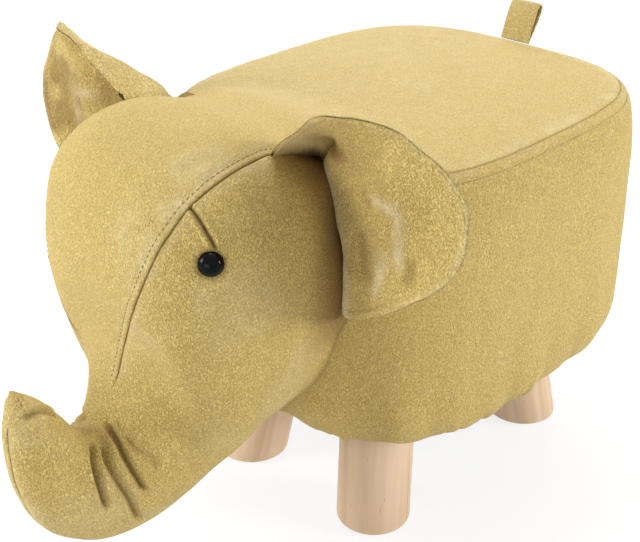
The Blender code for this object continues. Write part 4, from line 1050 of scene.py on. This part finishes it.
for column, mark_at in enumerate(marks):
    turn, outer = turns[column], edge_line[column]
    halfway = fold_points[column] if FOLD_TOP_MARK < mark_at < FOLD_FOOT_MARK else (turn + outer) / 2
    path = np.array([roots[column], seam_points[column], turn, halfway, outer])
    lengths = lengths_along(path)
    at = lengths[-1] - seam_steps(lengths[-1], EAR_ROWS, False, 0.0026, 0.0036, 0.0062, 0.0007)[::-1]
    soft = np.interp(at, [lengths[2], lengths[2] + 0.018], [0.0026, FOLD_SOFTNESS])
    soft = np.minimum(np.minimum(at, lengths[-1] - at), soft)
    middle.append(sum(places_at(at + soft * share, lengths, path) for share in np.linspace(-1, 1, 9)) / 9)
middle = np.array(middle)
row_shares = np.linspace(0, 1, EAR_ROWS)
pocket = bell(marks - POCKET_MARK, 0.85)[:, None] * bell(row_shares - 0.32, 0.20)[None, :]
middle += pocket[..., None] * POCKET_DEPTH
for _ in range(10):
    inner_part = (middle[:-2, 1:-1] + middle[2:, 1:-1] + middle[1:-1, :-2] + middle[1:-1, 2:]) / 4
    middle[1:-1, 1:-1] += 0.6 * (inner_part - middle[1:-1, 1:-1])
ear_out = unit(np.cross(np.gradient(middle, axis=0), np.gradient(middle, axis=1)))
if ear_out[EAR_COLUMNS // 2, EAR_ROWS // 2, 1] > 0:
    ear_out = -ear_out
flat = middle.reshape(-1, 3)
shape = middle.shape[:2]
edge_far = line_distance(flat, edge_line)[0].reshape(shape)
turn_far = line_distance(flat, worn_edge[standing[:, 0] > 0.5])[0].reshape(shape)
pinch = bell(edge_far - EAR_STITCH, 0.0013)
thick = EAR_THICKNESS * (1 - 0.30 * pinch + 0.25 * smooth_step((edge_far - EAR_STITCH) / 0.012))
thick *= 0.50 + 0.50 * smooth_step(edge_far / 0.0016)
front_shift = 0.0012 * waves(flat, 0.026, 41, 2).reshape(shape) * smooth_step((edge_far - 0.006) / 0.016)
front_shift += 0.0004 * waves(flat, 0.009, 42).reshape(shape)


def ear_line(table):
    """A line on the ear's inner face through edge marks and shares of the way out from the seam."""
    line = []
    for mark_at, share in blend_rows(table, count=40):
        column = middle[int(round(mark_at / marks[-1] * (EAR_COLUMNS - 1)))]
        lengths = lengths_along(column)
        line.append(places_at(share * lengths[-1], lengths, column))
    return line


# Painted light: lighter along the worn edge, which faces the light, partly wear, and over the small front flap,
# lightened as if lit
painted_light_and_wear = 0.95 * bell(turn_far, 0.0062) * (marks[:, None] > 5) + 0.40 * smooth_step((3.9 - marks) / 1.2)[:, None]
behind_turn = np.arange(EAR_ROWS)[None, :] < np.argmin(turn_far, axis=1)[:, None] - 4
# Painted shade behind the worn edge, in the pocket, at the nook and the corner by the seam, and over the ear's
# middle away from its edge
shades = [0.45 * behind_turn * standing, 0.95 * pocket ** 1.5, 0.95 * bell(far_from(middle, EAR_NOOK), 0.0100),
          0.9 * bell(far_from(middle, seam_points[int(0.20 * EAR_COLUMNS)]), 0.010),
          0.25 * smooth_step((edge_far - 0.008) / 0.03) * (marks[:, None] > 4.5)]
for table, lift, crease_width in EAR_CREASES:
    far, share = line_distance(flat, ear_line(table))
    ends = smooth_step(np.minimum(share, 1 - share) / 0.3 + 0.2 * (lift < 0))
    strong = (bell(far, crease_width) * ends).reshape(shape)
    front_shift += lift * strong
    # Raised creases get lighter ridges as painted sheen, partly wear; sunk creases get painted shade
    if lift > 0:
        painted_light_and_wear = np.maximum(painted_light_and_wear, 0.85 * strong)
    else:
        shades.append(0.44 * strong)
shaded = np.max(shades, axis=0)
ear_thread = thread_finish("ear_thread", ((0.52, 0.38, 0.14), (0.74, 0.58, 0.29)))
ear_suede = suede("ear_suede", (0.80, 0.80, 0.56), contrast=1.1)
fold_middle = (fold_top + fold_foot) / 2
fold_away = unit(fold_foot - fold_top)
across = unit(ear_edge[14] - fold_middle) - unit(ear_seam[len(ear_seam) // 2] - fold_middle)
across = unit(across - fold_away * across.dot(fold_away))
front = middle + ear_out * (thick / 2 + front_shift)[..., None]
back = middle - ear_out * (thick / 2 - front_shift)[..., None]
step_out = unit(edge_line - middle[:, -3])
lip = ear_out[:, -1]
rim = [front[:, -1] + step_out * 0.0006 + lip * 0.0001, edge_line + step_out * 0.0011 + lip * 0.00055,
       edge_line + step_out * 0.0003, edge_line + step_out * 0.0011 - lip * 0.00055,
       back[:, -1] + step_out * 0.0006 - lip * 0.0001]
ear_grid = np.concatenate([front, np.stack(rim, axis=1), back[:, ::-1]], axis=1)
plain_rim = np.zeros((EAR_COLUMNS, 5))
# Painted shade in the crack between the two plies along the rim, weaker round the outer corner; the back face gets a
# third of the front's painted shade
groove = plain_rim.copy()
groove[:, 2] = 0.85 - 0.5 * bell(marks - 14.0, 3.5)
ear_painted_shade = np.concatenate([shaded, groove, 0.3 * shaded[:, ::-1]], axis=1)
edge_pale = (0.12 + 0.38 * bell(marks - 14.0, 3.5))[:, None] * bell(edge_far, 0.0026)
edge_pale = np.clip(edge_pale + painted_light_and_wear, 0, 1)
ear_wear_and_light = np.concatenate([edge_pale, plain_rim + 0.20, 0.5 * edge_pale[:, ::-1]], axis=1)
stitch_line = [front[column, np.nonzero(edge_far[column] > EAR_STITCH)[0][-1]]
               for column in range(4, EAR_COLUMNS - 3) if edge_far[column].max() >= EAR_STITCH + 0.001]
stitch_line = even_line(stitch_line, 340)
for word, side in SIDES:
    mesh = grid_mesh("ear_" + word, (ear_grid * (side, 1, 1))[:, ::-side])
    if side < 0:
        # Painted shade: the right ear's inner face is darkened in blotches as if its dents lay in shade, and its
        # painted shade is held under 0.55 so its cavity shows no black spot
        mottled_shade = 0.58 * np.clip(0.60 + 1.2 * waves(flat, 0.022, 45, 2).reshape(shape), 0, 1)
        ear_painted_shade[:, :EAR_ROWS] = np.clip(ear_painted_shade[:, :EAR_ROWS], mottled_shade, 0.55)
    mark(mesh, "painted_shade", ear_painted_shade[:, ::-side].ravel())
    mark(mesh, "wear_and_painted_light", ear_wear_and_light[:, ::-side].ravel())
    ear = add_piece("ear_cloth_" + word, mesh, ear_suede)
    end = tuple((fold_middle + across * 0.008) * (side, 1, 1))
    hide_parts("ear_%s_base_front" % word, "ear_%s_base_back" % word,
                "ear_%s_flap_front" % word, "ear_%s_flap_back" % word)
    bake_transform(ear)
    stitches = sew("ear_topstitch_" + word, mesh, stitch_line * (side, 1, 1), ear_thread, length=0.0025)
    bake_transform(stitches)


# Tail loop: a strap of the same cloth, its edges turned in and stitched down both sides, bent double and
# caught by its two ends in the rear seam. It leans back over the edge of the seat.

LOOP_WIDTH = 0.024
LOOP_STITCH_X = LOOP_WIDTH / 2 - 0.0035
LOOP_OFFSET_X = -0.008
LOOP_LEAN = math.radians(28.0)
STRAP = 0.0018
UPWARD_HALF = [(0.0006, 0.0), (0.0012, 0.006), (0.0022, 0.013), (0.0026, 0.020), (0.0026, 0.0255), (0.0018, 0.0282)]

strap_path = UPWARD_HALF + [(0.0, 0.0292)] + [(-out, up) for out, up in UPWARD_HALF[::-1]]
path = even_line(blend_rows(strap_path, count=300), 60)
forward = unit(np.gradient(path, axis=0))
outward = np.stack([forward[:, 1], -forward[:, 0]], axis=1)
rim = signed_power(circle(48), 0.25)[:, 0] * LOOP_WIDTH / 2
thick = STRAP / 2 * signed_power(circle(48)[:, 1], 0.5) * (1 - 0.35 * bell(np.abs(rim) - LOOP_STITCH_X, 0.0011))
rows = [np.column_stack([rim, place + out * thick[:, None]]) for place, out in zip(path, outward)]
mesh = grid_mesh("tail_loop", rows, around=True)
mark(mesh, "wear_and_painted_light", np.full(len(mesh.vertices), 0.30))
rear_y = SEAT_CENTRE_Y + SEAT_LENGTH / 2 - SHOULDER_INSET
stand = Matrix.Translation((LOOP_OFFSET_X, rear_y, SEAM_HEIGHT)) @ Matrix.Rotation(-LOOP_LEAN, 4, "X")
mesh.transform(stand)
strap = add_piece("tail_strap", mesh, suede("strap_suede"))
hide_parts("tail_loop")
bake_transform(strap)
for word, side in SIDES:
    line = [stand @ Vector((side * LOOP_STITCH_X, *surface)) for surface in path + outward * STRAP / 2]
    stitches = sew("tail_stitch_" + word, mesh, line, thread, length=0.0025)
    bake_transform(stitches)
